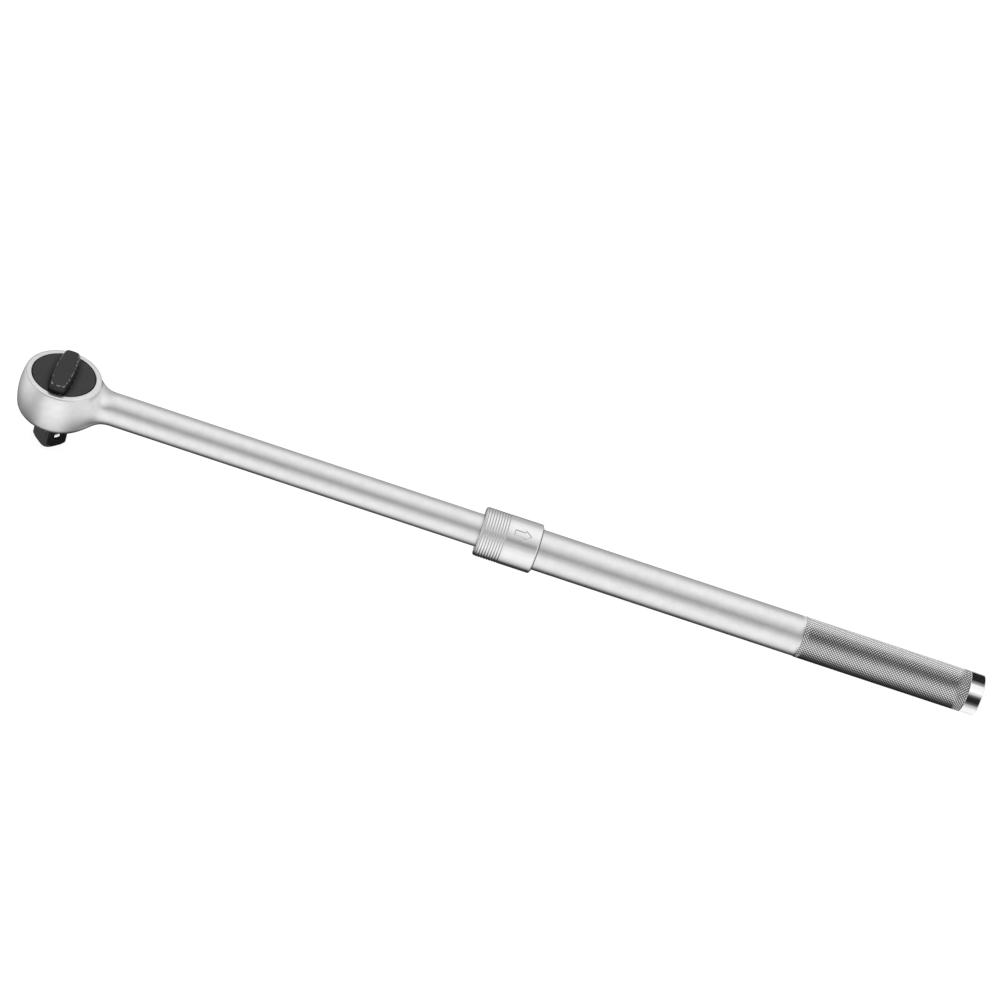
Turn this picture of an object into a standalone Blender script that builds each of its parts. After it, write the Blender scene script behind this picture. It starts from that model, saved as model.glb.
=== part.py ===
"""Telescopic reversible ratchet handle with a 19 mm (3/4 inch) square drive.

Frame: metres, +Z up. The origin is the centre of the drive square's end face, +X runs
along the handle to the grip end, and the drive turns about Z.
A forged head and its solid shank are one piece. A gear ring cut in the head is driven by
a double-ended pawl in the drive core, and the dial on top reverses the pawl. The tubular
grip slides on the shank and a sprung collar holds a lock ball in the shank's keyway.
"""
import math

import bmesh
import bpy
from mathutils import Matrix, Vector

# Overall layout
AXIS_HEIGHT = 0.047  # handle axis above the drive's end face
GAP = 0.0003  # clearance kept between touching pieces

# Forged head, heights measured from the handle axis
HEAD_TOP = 0.017
HEAD_BOTTOM = -0.026
HEAD_WIDEST = -0.001
HEAD_RADIUS = 0.031
HEAD_CROWN = 7.5  # how fast the side draws in, metres per square metre of height
HEAD_SHOULDER = -0.0163  # where the side turns into the underside's cone
HEAD_BOTTOM_RADIUS = 0.0172
RIM_ROUND = 0.0016
HEAD_EASE = 0.0022  # how far the shoulder's turn is spread
HEAD_SEGMENTS = 48
CORE_BORE_RADIUS = 0.0223
CORE_BORE_FLOOR = -0.0175
DIAL_BORE_RADIUS = 0.0243
DIAL_BORE_FLOOR = 0.0136
NECK_BORE_RADIUS = 0.0139
RING_POCKET_RADIUS = 0.0156
RING_POCKET_TOP = -0.0232

# Neck's blend between the head and the shank
BLEND_WIDEST = math.radians(58)
BLEND_NARROWEST = math.radians(20)
BLEND_HIGHEST = 0.0152
BLEND_LOWEST = -0.0205
NECK_PULL = 0.46  # length of the blend's tangents, as a share of its span
NECK_SUNK = 0.00025

# Ratchet
TOOTH_COUNT = 36
TOOTH_DEPTH = 0.0015
TEETH_BOTTOM = -0.009
MECHANISM_ANGLE = math.radians(110)  # direction of the pawl in the head
PAWL_PIN_REACH = 0.0172
PAWL_HALF_HEIGHT = 0.0078
PAWL_ROCK = math.radians(7)  # each way from the middle
PAWL_TOOTH_CLEARANCE = 0.00035
PAWL_END_ANGLES = (-20.0, -38.0)  # degrees from the pawl's middle
PAWL_BACK_REACH = 0.0133
PAWL_BACK_SWEEP = 22.0
PAWL_PIN_RADIUS = 0.002
PAWL_PIN_HALF_LENGTH = 0.0125
POCKET_MOUTH_HALF = 0.0162
POCKET_BACK_HALF = 0.0090
POCKET_BACK_REACH = 0.0103
POCKET_SIDE_REACH = 0.0122
POCKET_HALF_HEIGHT = 0.0084
PAWL_WING_STEP = 0.0016
PAWL_CROWN_DEPTH = 0.0009
PAWL_CROWN_ANGLES = (-12.0, -4.0, 4.0, 12.0)

# Drive core
DRUM_RADIUS = 0.0219
DRUM_TOP = 0.0133
DRUM_BOTTOM = -0.0171
NECK_RADIUS = 0.0136
NECK_BOTTOM = -0.0266
SNAP_GROOVE_TOP = -0.0243
SNAP_GROOVE_BOTTOM = -0.0261
SNAP_GROOVE_RADIUS = 0.0127
SEAL_GROOVE_HEIGHT = -0.0203
SEAL_GROOVE_HALF = 0.00085
SEAL_GROOVE_RADIUS = 0.0123
NECK_SEAL_RADIUS = 0.01311
NECK_SEAL_SECTION = 0.00045
SNAP_OPENING_HALF = 0.0015
SQUARE_SIDE = 0.01905
SQUARE_CORNER = 0.0017
SQUARE_TURNED_RADIUS = 0.0104  # where the turned end meets the end face
SQUARE_TURNED_SLOPE = 0.6
STEM_BORE_RADIUS = 0.0068
STEM_BORE_FLOOR = -0.0078
PLUNGER_WINDOW_HALF = 0.0078
PLUNGER_WINDOW_HEIGHT = 0.0031
PAWL_PIN_BORE = 0.0023
DIAL_PIN_RADIUS = 0.00125
DIAL_PIN_BORE = 0.00155
DIAL_PIN_HEIGHT = 0.0109
DIAL_PIN_OFFSET = 0.0066
DIAL_PIN_START = -0.0199
DIAL_PIN_END = 0.0080
DETENT_HEIGHT = -0.037
DETENT_BORE_RADIUS = 0.0032
DETENT_BORE_FLOOR = -0.003
DETENT_BALL_RADIUS = 0.0029
DETENT_BALL_REACH = 0.0079
DETENT_SPRING_RADIUS = 0.0021
DETENT_SPRING_WIRE = 0.0003
DETENT_SPRING_TURNS = 4
DETENT_DIRECTION = math.radians(-45)

# Direction dial
DIAL_RADIUS = 0.0237
DIAL_TOP = 0.0169
DIAL_BOTTOM = 0.0139
DIAL_EDGE = 0.0004
DIAL_SEAL_HEIGHT = 0.0153
DIAL_SEAL_GROOVE_HALF = 0.0007
DIAL_SEAL_GROOVE_RADIUS = 0.0228
DIAL_SEAL_RADIUS = 0.02353
DIAL_SEAL_SECTION = 0.00042
LEVER_ANGLE = math.radians(90)
LEVER_HEIGHT = 0.0070
LEVER_REACH = 0.0229  # from the dial's centre to the lever's rounded ends
LEVER_MIDDLE_HALF = 0.0090
LEVER_END_HALF = 0.0073
LEVER_TOP_INSET = 0.0028  # how far the sides lean in over the lever's height
LEVER_TOP_REACH = 0.0222
LEVER_EDGE = 0.0010
LEVER_CORNER = 0.0034
STEM_RADIUS = 0.0065
STEM_BOTTOM = -0.0070
STEM_GROOVE_RADIUS = 0.0049
STEM_GROOVE_BOTTOM = 0.0093
STEM_GROOVE_TOP = 0.0125
PLUNGER_BORE_RADIUS = 0.0029
PLUNGER_BORE_FLOOR = -0.0045
PLUNGER_RADIUS = 0.0026
PLUNGER_BACK = 0.0014
PLUNGER_TIP = 0.0130
PLUNGER_HOLLOW_RADIUS = 0.0019
PLUNGER_HOLLOW_END = 0.0090
PLUNGER_SPRING_RADIUS = 0.0013
PLUNGER_SPRING_WIRE = 0.0003
PLUNGER_SPRING_TURNS = 6

# Shank and its keyway, on the underside
SHANK_RADIUS = 0.0127
SHANK_START = 0.0435
SHANK_END = 0.424
SHANK_SEGMENTS = 32
STUB_RADIUS = 0.009
STUB_END = 0.440
SCREW_BORE_RADIUS = 0.0031
SCREW_BORE_START = 0.420
LOCK_BALL_X = 0.347
LOCK_PITCH = 0.065
LOCK_POSITIONS = 5
LOCK_BALL_RADIUS = 0.003
LOCK_BALL_OFFSET = 0.0131
KEYWAY_HALF_WIDTH = 0.0034
KEYWAY_FLOOR = 0.0098
POCKET_FLOOR = 0.0088
KEYWAY_OVERRUN = 0.0003

# Tail end of the shank
TAIL_BUSH_RADIUS = 0.0141
TAIL_WASHER_RADIUS = 0.0125
TAIL_WASHER_THICKNESS = 0.0015
TAIL_SCREW_RADIUS = 0.0028
TAIL_SCREW_HEAD_RADIUS = 0.0055
TAIL_SCREW_HEAD_LENGTH = 0.0038
TAIL_SCREW_KEY_WIDTH = 0.005
TAIL_SCREW_KEY_DEPTH = 0.0022

# Grip tube
TUBE_RADIUS = 0.015875
TUBE_BORE_RADIUS = 0.0144
TUBE_START = 0.332
TUBE_END = 0.7193
KNURL_START = 0.587
KNURL_RADIUS = 0.0163
TUBE_SEGMENTS = 40
CIRCLIP_GROOVE_START = 0.3331
CIRCLIP_GROOVE_END = 0.3348
CIRCLIP_GROOVE_RADIUS = 0.0153
CIRCLIP_RADIUS = 0.0172
BALL_HOLE_RADIUS = 0.0033
BUSH_BORE_RADIUS = 0.0130
BUSH_RADIUS = 0.0141
BUSH_START = 0.336
BUSH_END = 0.366
BUSH_PIN_X = 0.358
BUSH_PIN_RADIUS = 0.0012
BUSH_PIN_HOLE = 0.0015
BUSH_PIN_INNER = 0.01315
BUSH_PIN_OUTER = 0.0157
WIPER_START = 0.3325
WIPER_END = 0.3356

# Lock collar
COLLAR_FRONT = 0.33115
COLLAR_REAR = 0.3761
COLLAR_RADIUS = 0.01925
COLLAR_EDGE = 0.0008
COLLAR_FRONT_BORE = 0.0175
COLLAR_STOP_START = 0.3351
COLLAR_LAND_RADIUS = 0.01625
COLLAR_RECESS_START = 0.3376
COLLAR_RECESS_END = 0.3400
COLLAR_RECESS_RADIUS = 0.01753
COLLAR_RAMP_END = 0.3485
COLLAR_SHOULDER = 0.3510
COLLAR_REAR_BORE = 0.0177
GROOVE_COUNT = 9
GROOVE_FIRST = 0.3331
GROOVE_PITCH = 0.0021
GROOVE_HALF_WIDTH = 0.00055
GROOVE_DEPTH = 0.0004
COLLAR_SEGMENTS = 32
SEAT_START = 0.3706
SEAT_END = 0.3768
SEAT_BORE_RADIUS = 0.0161
SEAT_RADIUS = 0.0174
COLLAR_SPRING_WIRE = 0.00055
COLLAR_SPRING_RADIUS = 0.0168
COLLAR_SPRING_TURNS = 4
CIRCLIP_OPENING_HALF = 0.002

# End cap
CAP_START = 0.7196
CAP_END = 0.7316
CAP_RADIUS = 0.0163
CAP_CHAMFER = 0.0011
PLUG_RADIUS = 0.0141
PLUG_CHAMFER = 0.0006
PLUG_START = 0.7120
BUMPER_START = 0.7083
BUMPER_END = 0.7117
BUMPER_RADIUS = 0.0138


def clear_scene():
    """Remove whatever objects the scene holds."""
    for obj in list(bpy.data.objects):
        bpy.data.objects.remove(obj, do_unlink=True)


# Materials


def finish(name, color, metallic, roughness):
    """A Principled material, made once for each name."""
    found = bpy.data.materials.get(name)
    if found:
        return found
    mat = bpy.data.materials.new(name)
    mat.use_nodes = True
    shader = mat.node_tree.nodes["Principled BSDF"]
    shader.inputs["Base Color"].default_value = (*color, 1.0)
    shader.inputs["Metallic"].default_value = metallic
    shader.inputs["Roughness"].default_value = roughness
    mat.diffuse_color = (*color, 1.0)
    return mat


def satin_chrome():
    return finish("satin_chrome", (0.72, 0.72, 0.71), 1.0, 0.32)


def bright_chrome():
    return finish("bright_chrome", (0.66, 0.67, 0.69), 1.0, 0.08)


def knurled_chrome():
    return finish("knurled_chrome", (0.58, 0.59, 0.60), 1.0, 0.22)


def black_oxide():
    return finish("black_oxide", (0.030, 0.030, 0.032), 0.6, 0.45)


def black_dial():
    return finish("black_dial", (0.045, 0.045, 0.047), 0.0, 0.5)


def hardened_steel():
    return finish("hardened_steel", (0.55, 0.55, 0.56), 1.0, 0.25)


def spring_steel():
    return finish("spring_steel", (0.42, 0.42, 0.44), 1.0, 0.3)


def bronze():
    return finish("bronze", (0.55, 0.36, 0.16), 1.0, 0.4)


def black_rubber():
    return finish("black_rubber", (0.02, 0.02, 0.02), 0.0, 0.8)


# Mesh building


def new_object(name, mesh, material, parent=None, location=(0.0, 0.0, 0.0), spin=0.0):
    """Put a mesh in the scene as one named object."""
    obj = bpy.data.objects.new(name, mesh)
    obj.location = location
    obj.rotation_euler = (0.0, 0.0, spin)
    obj.parent = parent
    if material:
        mesh.materials.append(material)
    bpy.context.scene.collection.objects.link(obj)
    return obj


def frame_empty(name, location, parent=None):
    """An empty that carries the pieces which move together."""
    empty = bpy.data.objects.new(name, None)
    empty.location = location
    empty.parent = parent
    bpy.context.scene.collection.objects.link(empty)
    return empty


def to_mesh(bm, name, sharp=30.0):
    """Close, orient and smooth a bmesh, and return it as a mesh."""
    bmesh.ops.remove_doubles(bm, verts=bm.verts, dist=1e-6)
    bmesh.ops.recalc_face_normals(bm, faces=bm.faces)
    mesh = bpy.data.meshes.new(name)
    bm.to_mesh(mesh)
    bm.free()
    mesh.shade_smooth()
    mesh.set_sharp_from_angle(angle=math.radians(sharp))
    return mesh


def along_x():
    """Turn a shape built about Z so that its axis lies along X."""
    return Matrix.Rotation(math.pi / 2, 4, "Y")


def turned(name, profile, segments, axis="Z"):
    """Spin a (radius, height) outline about its axis into a closed solid."""
    bm = bmesh.new()
    verts = [bm.verts.new((radius, 0.0, height)) for radius, height in profile]
    edges = [bm.edges.new(pair) for pair in zip(verts, verts[1:])]
    if profile[0][0] > 0.0 and profile[-1][0] > 0.0:
        edges.append(bm.edges.new((verts[-1], verts[0])))
    bmesh.ops.spin(
        bm,
        geom=verts + edges,
        cent=(0.0, 0.0, 0.0),
        axis=(0.0, 0.0, 1.0),
        angle=math.tau,
        steps=segments,
        use_duplicate=False,
    )
    if axis == "X":
        bmesh.ops.transform(bm, matrix=along_x(), verts=bm.verts)
    return to_mesh(bm, name)


def prism(name, outline, low, high):
    """Raise a flat outline of (x, y) points between two heights."""
    bm = bmesh.new()
    base = bm.faces.new([bm.verts.new((x, y, low)) for x, y in outline])
    raised = bmesh.ops.extrude_face_region(bm, geom=[base])
    tops = [item for item in raised["geom"] if isinstance(item, bmesh.types.BMVert)]
    bmesh.ops.translate(bm, verts=tops, vec=(0.0, 0.0, high - low))
    return to_mesh(bm, name)


def rod_between(name, start, end, radius, segments):
    """A plain cylinder between two points."""
    start = Vector(start)
    way = Vector(end) - start
    place = Matrix.Translation(start) @ way.to_track_quat("Z", "Y").to_matrix().to_4x4()
    bm = bmesh.new()
    bmesh.ops.create_cone(
        bm,
        cap_ends=True,
        segments=segments,
        radius1=radius,
        radius2=radius,
        depth=way.length,
        matrix=place @ Matrix.Translation((0.0, 0.0, way.length / 2)),
    )
    return to_mesh(bm, name)


def ball(name, radius, segments=16, rings=8):
    """A sphere about the origin."""
    bm = bmesh.new()
    bmesh.ops.create_uvsphere(bm, u_segments=segments, v_segments=rings, radius=radius)
    return to_mesh(bm, name)


def torus(name, ring_radius, section_radius, segments, sides):
    """A round-section ring about Z."""
    profile = []
    for step in range(sides):
        turn = math.tau * step / sides
        radius = ring_radius + section_radius * math.cos(turn)
        profile.append((radius, section_radius * math.sin(turn)))
    return turned(name, profile, segments)


def coil(name, radius, wire, low, high, turns, per_turn=16, sides=6):
    """A round-wire compression spring about Z, with closed wire ends."""
    bm = bmesh.new()
    steps = turns * per_turn
    climb = (high - low - 2 * wire) / steps
    rings = []
    for step in range(steps + 1):
        turn = math.tau * step / per_turn
        out = Vector((math.cos(turn), math.sin(turn), 0.0))
        centre = out * radius + Vector((0.0, 0.0, low + wire + climb * step))
        ring = []
        for side in range(sides):
            angle = math.tau * side / sides
            up = Vector((0.0, 0.0, wire * math.sin(angle)))
            ring.append(bm.verts.new(centre + out * (wire * math.cos(angle)) + up))
        rings.append(ring)
    for near, far in zip(rings, rings[1:]):
        for side in range(sides):
            after = (side + 1) % sides
            bm.faces.new((near[side], near[after], far[after], far[side]))
    bm.faces.new(rings[0])
    bm.faces.new(rings[-1])
    return to_mesh(bm, name)


def boolean(obj, mesh, operation="DIFFERENCE", spin=0.0):
    """Cut or join a shape into an object, both in the object's own frame."""
    tool = bpy.data.objects.new(f"{mesh.name}_shape", mesh)
    tool.parent = obj
    tool.rotation_euler = (0.0, 0.0, spin)
    tool.hide_render = True
    tool.display_type = "WIRE"
    bpy.context.scene.collection.objects.link(tool)
    step = obj.modifiers.new(mesh.name, "BOOLEAN")
    step.operation = operation
    step.solver = "EXACT"
    step.object = tool
    return tool


def polar(radius, degrees):
    """A point at a radius, its angle measured from +Y so that +Y is the pawl's way."""
    turn = math.radians(degrees)
    return (radius * math.sin(turn), radius * math.cos(turn))


def rotated(point, centre, turn):
    """Turn a flat point about a centre."""
    dx, dy = point[0] - centre[0], point[1] - centre[1]
    x = centre[0] + dx * math.cos(turn) - dy * math.sin(turn)
    y = centre[1] + dx * math.sin(turn) + dy * math.cos(turn)
    return (x, y)


# Head and shank


def side_radius(height):
    """Radius of the head's crowned side at a height."""
    return HEAD_RADIUS - HEAD_CROWN * (height - HEAD_WIDEST) ** 2


def underside_radius(height):
    """Radius of the cone under the head's side."""
    share = (height - HEAD_BOTTOM) / (HEAD_SHOULDER - HEAD_BOTTOM)
    return HEAD_BOTTOM_RADIUS + share * (side_radius(HEAD_SHOULDER) - HEAD_BOTTOM_RADIUS)


def head_radius(height):
    """Radius of the turned head at a height, its shoulder eased over."""
    side = side_radius(height)
    cone = underside_radius(height)
    share = max(HEAD_EASE - abs(side - cone), 0.0) / HEAD_EASE
    return min(side, cone) - share * share * HEAD_EASE / 4


def head_profile():
    """Outline of the solid head, from the top's centre to the bottom's centre."""
    top_radius = side_radius(HEAD_TOP) - RIM_ROUND
    points = [(0.0, HEAD_TOP)]
    for step in range(4):
        turn = math.pi / 2 * (1 - step / 3)
        x = top_radius + RIM_ROUND * math.cos(turn)
        points.append((x, HEAD_TOP - RIM_ROUND * (1 - math.sin(turn))))
    steps = 10
    high = HEAD_TOP - RIM_ROUND
    for step in range(1, steps + 1):
        height = high + (HEAD_BOTTOM + 0.0005 - high) * step / steps
        points.append((head_radius(height), height))
    points.append((head_radius(HEAD_BOTTOM) - 0.0005, HEAD_BOTTOM))
    points.append((0.0, HEAD_BOTTOM))
    return points


def head_reach(theta, phi):
    """Distance from the head's centre to its side, along a direction off the X axis."""
    flat = math.hypot(math.cos(theta), math.sin(theta) * math.cos(phi))
    climb = math.sin(theta) * math.sin(phi)
    low, high = 0.0, 0.06
    for _ in range(30):
        reach = (low + high) / 2
        height = reach * climb
        inside = HEAD_BOTTOM < height < HEAD_TOP and reach * flat < head_radius(height)
        low, high = (reach, high) if inside else (low, reach)
    return low


def blend_angle(phi):
    """How far round the head the neck's blend reaches, at an angle about the shank."""
    low, high = BLEND_NARROWEST, BLEND_WIDEST
    for _ in range(30):
        theta = (low + high) / 2
        height = head_reach(theta, phi) * math.sin(theta) * math.sin(phi)
        fits = BLEND_LOWEST < height < BLEND_HIGHEST
        low, high = (theta, high) if fits else (low, theta)
    return low


def neck_point(phi, share):
    """A point of the neck's blend: share 0 on the shank, 1 just inside the head."""
    theta = blend_angle(phi)
    step = 0.01
    reach = head_reach(theta, phi) - NECK_SUNK
    back = head_reach(theta - step, phi) - NECK_SUNK
    foot = Vector((reach * math.cos(theta), reach * math.sin(theta)))
    before = Vector((back * math.cos(theta - step), back * math.sin(theta - step)))
    lead = (foot - before).normalized()
    start = Vector((SHANK_START, SHANK_RADIUS))
    pull = NECK_PULL * (start - foot).length
    first = start - Vector((pull, 0.0))
    second = foot - lead * pull
    rest = 1.0 - share
    flat = (
        start * rest**3
        + first * (3 * rest * rest * share)
        + second * (3 * rest * share * share)
        + foot * share**3
    )
    across, up = math.cos(phi), math.sin(phi)
    return Vector((flat.x, flat.y * across, flat.y * up))


def shank_mesh():
    """Shank, tail stub and flared neck as one loft about X, closed inside the head."""
    bm = bmesh.new()
    phis = [math.tau * step / SHANK_SEGMENTS for step in range(SHANK_SEGMENTS)]
    sections = []
    for radius, x in (
        (STUB_RADIUS, STUB_END),
        (STUB_RADIUS, SHANK_END),
        (SHANK_RADIUS, SHANK_END),
    ):
        sections.append([Vector((x, radius * math.cos(p), radius * math.sin(p))) for p in phis])
    rows = 8
    for row in range(rows + 1):
        sections.append([neck_point(p, row / rows) for p in phis])
    inner = 0.005
    sections.append([Vector((inner, inner * math.cos(p), inner * math.sin(p))) for p in phis])
    rings = [[bm.verts.new(point) for point in section] for section in sections]
    for near, far in zip(rings, rings[1:]):
        for index in range(SHANK_SEGMENTS):
            after = (index + 1) % SHANK_SEGMENTS
            bm.faces.new((near[index], near[after], far[after], far[index]))
    bm.faces.new(rings[0])
    bm.faces.new(rings[-1])
    return to_mesh(bm, "head_and_shank")


def head_cavity_mesh():
    """The dial's bore, the core's bore, the neck hole and the snap ring's pocket."""
    over = 0.002
    profile = [
        (0.0, HEAD_TOP + over),
        (DIAL_BORE_RADIUS, HEAD_TOP + over),
        (DIAL_BORE_RADIUS, DIAL_BORE_FLOOR),
        (CORE_BORE_RADIUS, DIAL_BORE_FLOOR),
        (CORE_BORE_RADIUS, CORE_BORE_FLOOR),
        (NECK_BORE_RADIUS, CORE_BORE_FLOOR),
        (NECK_BORE_RADIUS, RING_POCKET_TOP),
        (RING_POCKET_RADIUS, RING_POCKET_TOP),
        (RING_POCKET_RADIUS, HEAD_BOTTOM - over),
        (0.0, HEAD_BOTTOM - over),
    ]
    return turned("head_cavity", profile, HEAD_SEGMENTS)


def ring_radius(degrees):
    """Radius of the head's ratchet teeth, tip at 0 degrees from the pawl's middle."""
    pitch = 360.0 / TOOTH_COUNT
    share = abs((degrees / pitch) % 1.0 - 0.5) * 2
    return CORE_BORE_RADIUS + TOOTH_DEPTH * (1.0 - share)


def teeth_mesh():
    """Star-shaped cutter whose points are the roots of the ratchet teeth."""
    pitch = 360.0 / TOOTH_COUNT
    under = 0.0001
    outline = []
    for tooth in range(TOOTH_COUNT):
        outline.append(polar(CORE_BORE_RADIUS - under, pitch * tooth))
        outline.append(polar(ring_radius(pitch * (tooth + 0.5)), pitch * (tooth + 0.5)))
    outline.reverse()
    return prism("ratchet_teeth", outline, TEETH_BOTTOM, DIAL_BORE_FLOOR + 0.0002)


def slot_outline(start, end, half):
    """A flat slot along X with half-round ends."""
    turns = [math.pi * step / 8 for step in range(9)]
    far = [(end + half * math.sin(t), -half * math.cos(t)) for t in turns]
    near = [(start - half * math.sin(t), half * math.cos(t)) for t in turns]
    return far + near


def keyway_mesh():
    """Straight keyway along the shank's underside."""
    first = LOCK_BALL_X - LOCK_PITCH * (LOCK_POSITIONS - 1) - KEYWAY_OVERRUN
    outline = slot_outline(first, LOCK_BALL_X + KEYWAY_OVERRUN, KEYWAY_HALF_WIDTH)
    return prism("keyway", outline, -SHANK_RADIUS - 0.002, -KEYWAY_FLOOR)


def lock_pocket_mesh(index):
    """One round pocket in the keyway's floor."""
    radius = LOCK_BALL_RADIUS + 0.0002
    mesh = ball(f"lock_pocket_{index}", radius, 12, 8)
    x = LOCK_BALL_X - LOCK_PITCH * index
    mesh.transform(Matrix.Translation((x, 0.0, -POCKET_FLOOR - radius)))
    return mesh


def screw_bore_mesh():
    return rod_between(
        "tail_screw_bore",
        (SCREW_BORE_START, 0.0, 0.0),
        (STUB_END + 0.002, 0.0, 0.0),
        SCREW_BORE_RADIUS,
        20,
    )


def build_head(parent):
    """Forged head with its gear ring, neck, shank and keyway: one piece."""
    obj = new_object("head_and_shank", shank_mesh(), satin_chrome(), parent)
    boolean(obj, turned("head_blank", head_profile(), HEAD_SEGMENTS), "UNION")
    boolean(obj, head_cavity_mesh())
    boolean(obj, teeth_mesh(), spin=MECHANISM_ANGLE - math.pi / 2)
    boolean(obj, keyway_mesh())
    for index in range(LOCK_POSITIONS):
        boolean(obj, lock_pocket_mesh(index))
    boolean(obj, screw_bore_mesh())
    return obj


# Drive core


def core_profile():
    """Drum and neck outline, from the top's centre to the neck's end."""
    edge = 0.0005
    return [
        (0.0, DRUM_TOP),
        (DRUM_RADIUS - edge, DRUM_TOP),
        (DRUM_RADIUS, DRUM_TOP - edge),
        (DRUM_RADIUS, DRUM_BOTTOM),
        (NECK_RADIUS, DRUM_BOTTOM),
        (NECK_RADIUS, SEAL_GROOVE_HEIGHT + SEAL_GROOVE_HALF),
        (SEAL_GROOVE_RADIUS, SEAL_GROOVE_HEIGHT + SEAL_GROOVE_HALF),
        (SEAL_GROOVE_RADIUS, SEAL_GROOVE_HEIGHT - SEAL_GROOVE_HALF),
        (NECK_RADIUS, SEAL_GROOVE_HEIGHT - SEAL_GROOVE_HALF),
        (NECK_RADIUS, SNAP_GROOVE_TOP),
        (SNAP_GROOVE_RADIUS, SNAP_GROOVE_TOP),
        (SNAP_GROOVE_RADIUS, SNAP_GROOVE_BOTTOM),
        (NECK_RADIUS, SNAP_GROOVE_BOTTOM),
        (NECK_RADIUS, NECK_BOTTOM),
        (0.0, NECK_BOTTOM),
    ]


def square_outline(side, corner):
    """A square about the axis with rounded corners, its corners on X and Y."""
    half = side / 2 - corner
    points = []
    for quarter in range(4):
        centre = math.pi / 4 + math.pi / 2 * quarter
        middle = Vector((math.cos(centre), math.sin(centre))) * half * math.sqrt(2)
        for step in range(4):
            turn = math.pi / 2 * (quarter + step / 3)
            point = middle + Vector((math.cos(turn), math.sin(turn))) * corner
            points.append(rotated(point, (0.0, 0.0), math.pi / 4))
    return points


def square_mesh():
    """The drive square, its top sunk into the neck."""
    outline = square_outline(SQUARE_SIDE, SQUARE_CORNER)
    return prism("drive_square", outline, -AXIS_HEIGHT, NECK_BOTTOM + 0.002)


def turned_end_mesh():
    """Ring cutter that turns the square's corners down to a cone at its end."""
    over = 0.002
    low = -AXIS_HEIGHT - over * SQUARE_TURNED_SLOPE
    reach = SQUARE_SIDE / math.sqrt(2) + over
    high = (reach - SQUARE_TURNED_RADIUS) * SQUARE_TURNED_SLOPE - AXIS_HEIGHT
    profile = [(SQUARE_TURNED_RADIUS - over, low), (reach, high), (reach, low)]
    return turned("turned_end", profile, 48)


def pawl_pocket_mesh():
    """Room for the pawl to rock, open to the drum's side."""
    mouth = DRUM_RADIUS + 0.004
    outline = [
        (-POCKET_MOUTH_HALF, mouth),
        (-POCKET_MOUTH_HALF, POCKET_SIDE_REACH),
        (-POCKET_BACK_HALF, POCKET_BACK_REACH),
        (POCKET_BACK_HALF, POCKET_BACK_REACH),
        (POCKET_MOUTH_HALF, POCKET_SIDE_REACH),
        (POCKET_MOUTH_HALF, mouth),
    ]
    return prism("pawl_pocket", outline, -POCKET_HALF_HEIGHT, POCKET_HALF_HEIGHT)


def plunger_window_mesh():
    """Slot from the stem's bore to the pawl's pocket, as wide as the plunger's sweep."""
    half = PLUNGER_WINDOW_HALF
    reach = POCKET_BACK_REACH + 0.001
    outline = [(-half, 0.0), (half, 0.0), (half, reach), (-half, reach)]
    return prism("plunger_window", outline, -PLUNGER_WINDOW_HEIGHT, PLUNGER_WINDOW_HEIGHT)


def stem_bore_mesh():
    return rod_between(
        "stem_bore", (0, 0, STEM_BORE_FLOOR), (0, 0, DRUM_TOP + 0.002), STEM_BORE_RADIUS, 32
    )


def pawl_pin_bore_mesh():
    low = -PAWL_PIN_HALF_LENGTH - GAP
    return rod_between(
        "pawl_pin_bore",
        (0, PAWL_PIN_REACH, low),
        (0, PAWL_PIN_REACH, DRUM_TOP + 0.002),
        PAWL_PIN_BORE,
        20,
    )


def dial_pin_bore_mesh():
    start = -DRUM_RADIUS - 0.002
    return rod_between(
        "dial_pin_bore",
        (start, -DIAL_PIN_OFFSET, DIAL_PIN_HEIGHT),
        (DIAL_PIN_END + GAP, -DIAL_PIN_OFFSET, DIAL_PIN_HEIGHT),
        DIAL_PIN_BORE,
        16,
    )


def detent_bore_mesh():
    return rod_between(
        "detent_bore",
        (DETENT_BORE_FLOOR, 0, DETENT_HEIGHT),
        (SQUARE_SIDE, 0, DETENT_HEIGHT),
        DETENT_BORE_RADIUS,
        24,
    )


def build_core(parent):
    """Drive core: drum with the pawl's pocket, neck and drive square."""
    lean = MECHANISM_ANGLE - math.pi / 2
    obj = new_object("drive_core", turned("drive_core", core_profile(), 36), black_oxide(), parent)
    boolean(obj, square_mesh(), "UNION")
    boolean(obj, turned_end_mesh())
    boolean(obj, pawl_pocket_mesh(), spin=lean)
    boolean(obj, stem_bore_mesh())
    boolean(obj, plunger_window_mesh(), spin=lean)
    boolean(obj, pawl_pin_bore_mesh(), spin=lean)
    boolean(obj, dial_pin_bore_mesh(), spin=lean)
    boolean(obj, detent_bore_mesh(), spin=DETENT_DIRECTION)
    return obj


def pawl_end(side):
    """Toothed end of the pawl, as it lies with the pawl in its middle position."""
    near, far = PAWL_END_ANGLES
    pin = (0.0, PAWL_PIN_REACH)
    steps = 18
    points = []
    for step in range(steps + 1):
        angle = near + (far - near) * step / steps
        radius = ring_radius(angle) - PAWL_TOOTH_CLEARANCE
        points.append(rotated(polar(radius, angle), pin, PAWL_ROCK))
    if side > 0:
        points = [(-x, y) for x, y in points]
    return points


def pawl_back():
    """Hollowed back that the plunger sweeps along."""
    points = []
    steps = 10
    for step in range(steps + 1):
        sweep = math.radians(PAWL_BACK_SWEEP) * (2 * step / steps - 1)
        x = PAWL_BACK_REACH * math.sin(sweep)
        ratio = PAWL_ROCK / math.radians(20)
        y = PAWL_BACK_REACH * math.cos(sweep) - abs(x) * math.tan(ratio * abs(sweep))
        points.append((x, y))
    return points


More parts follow.
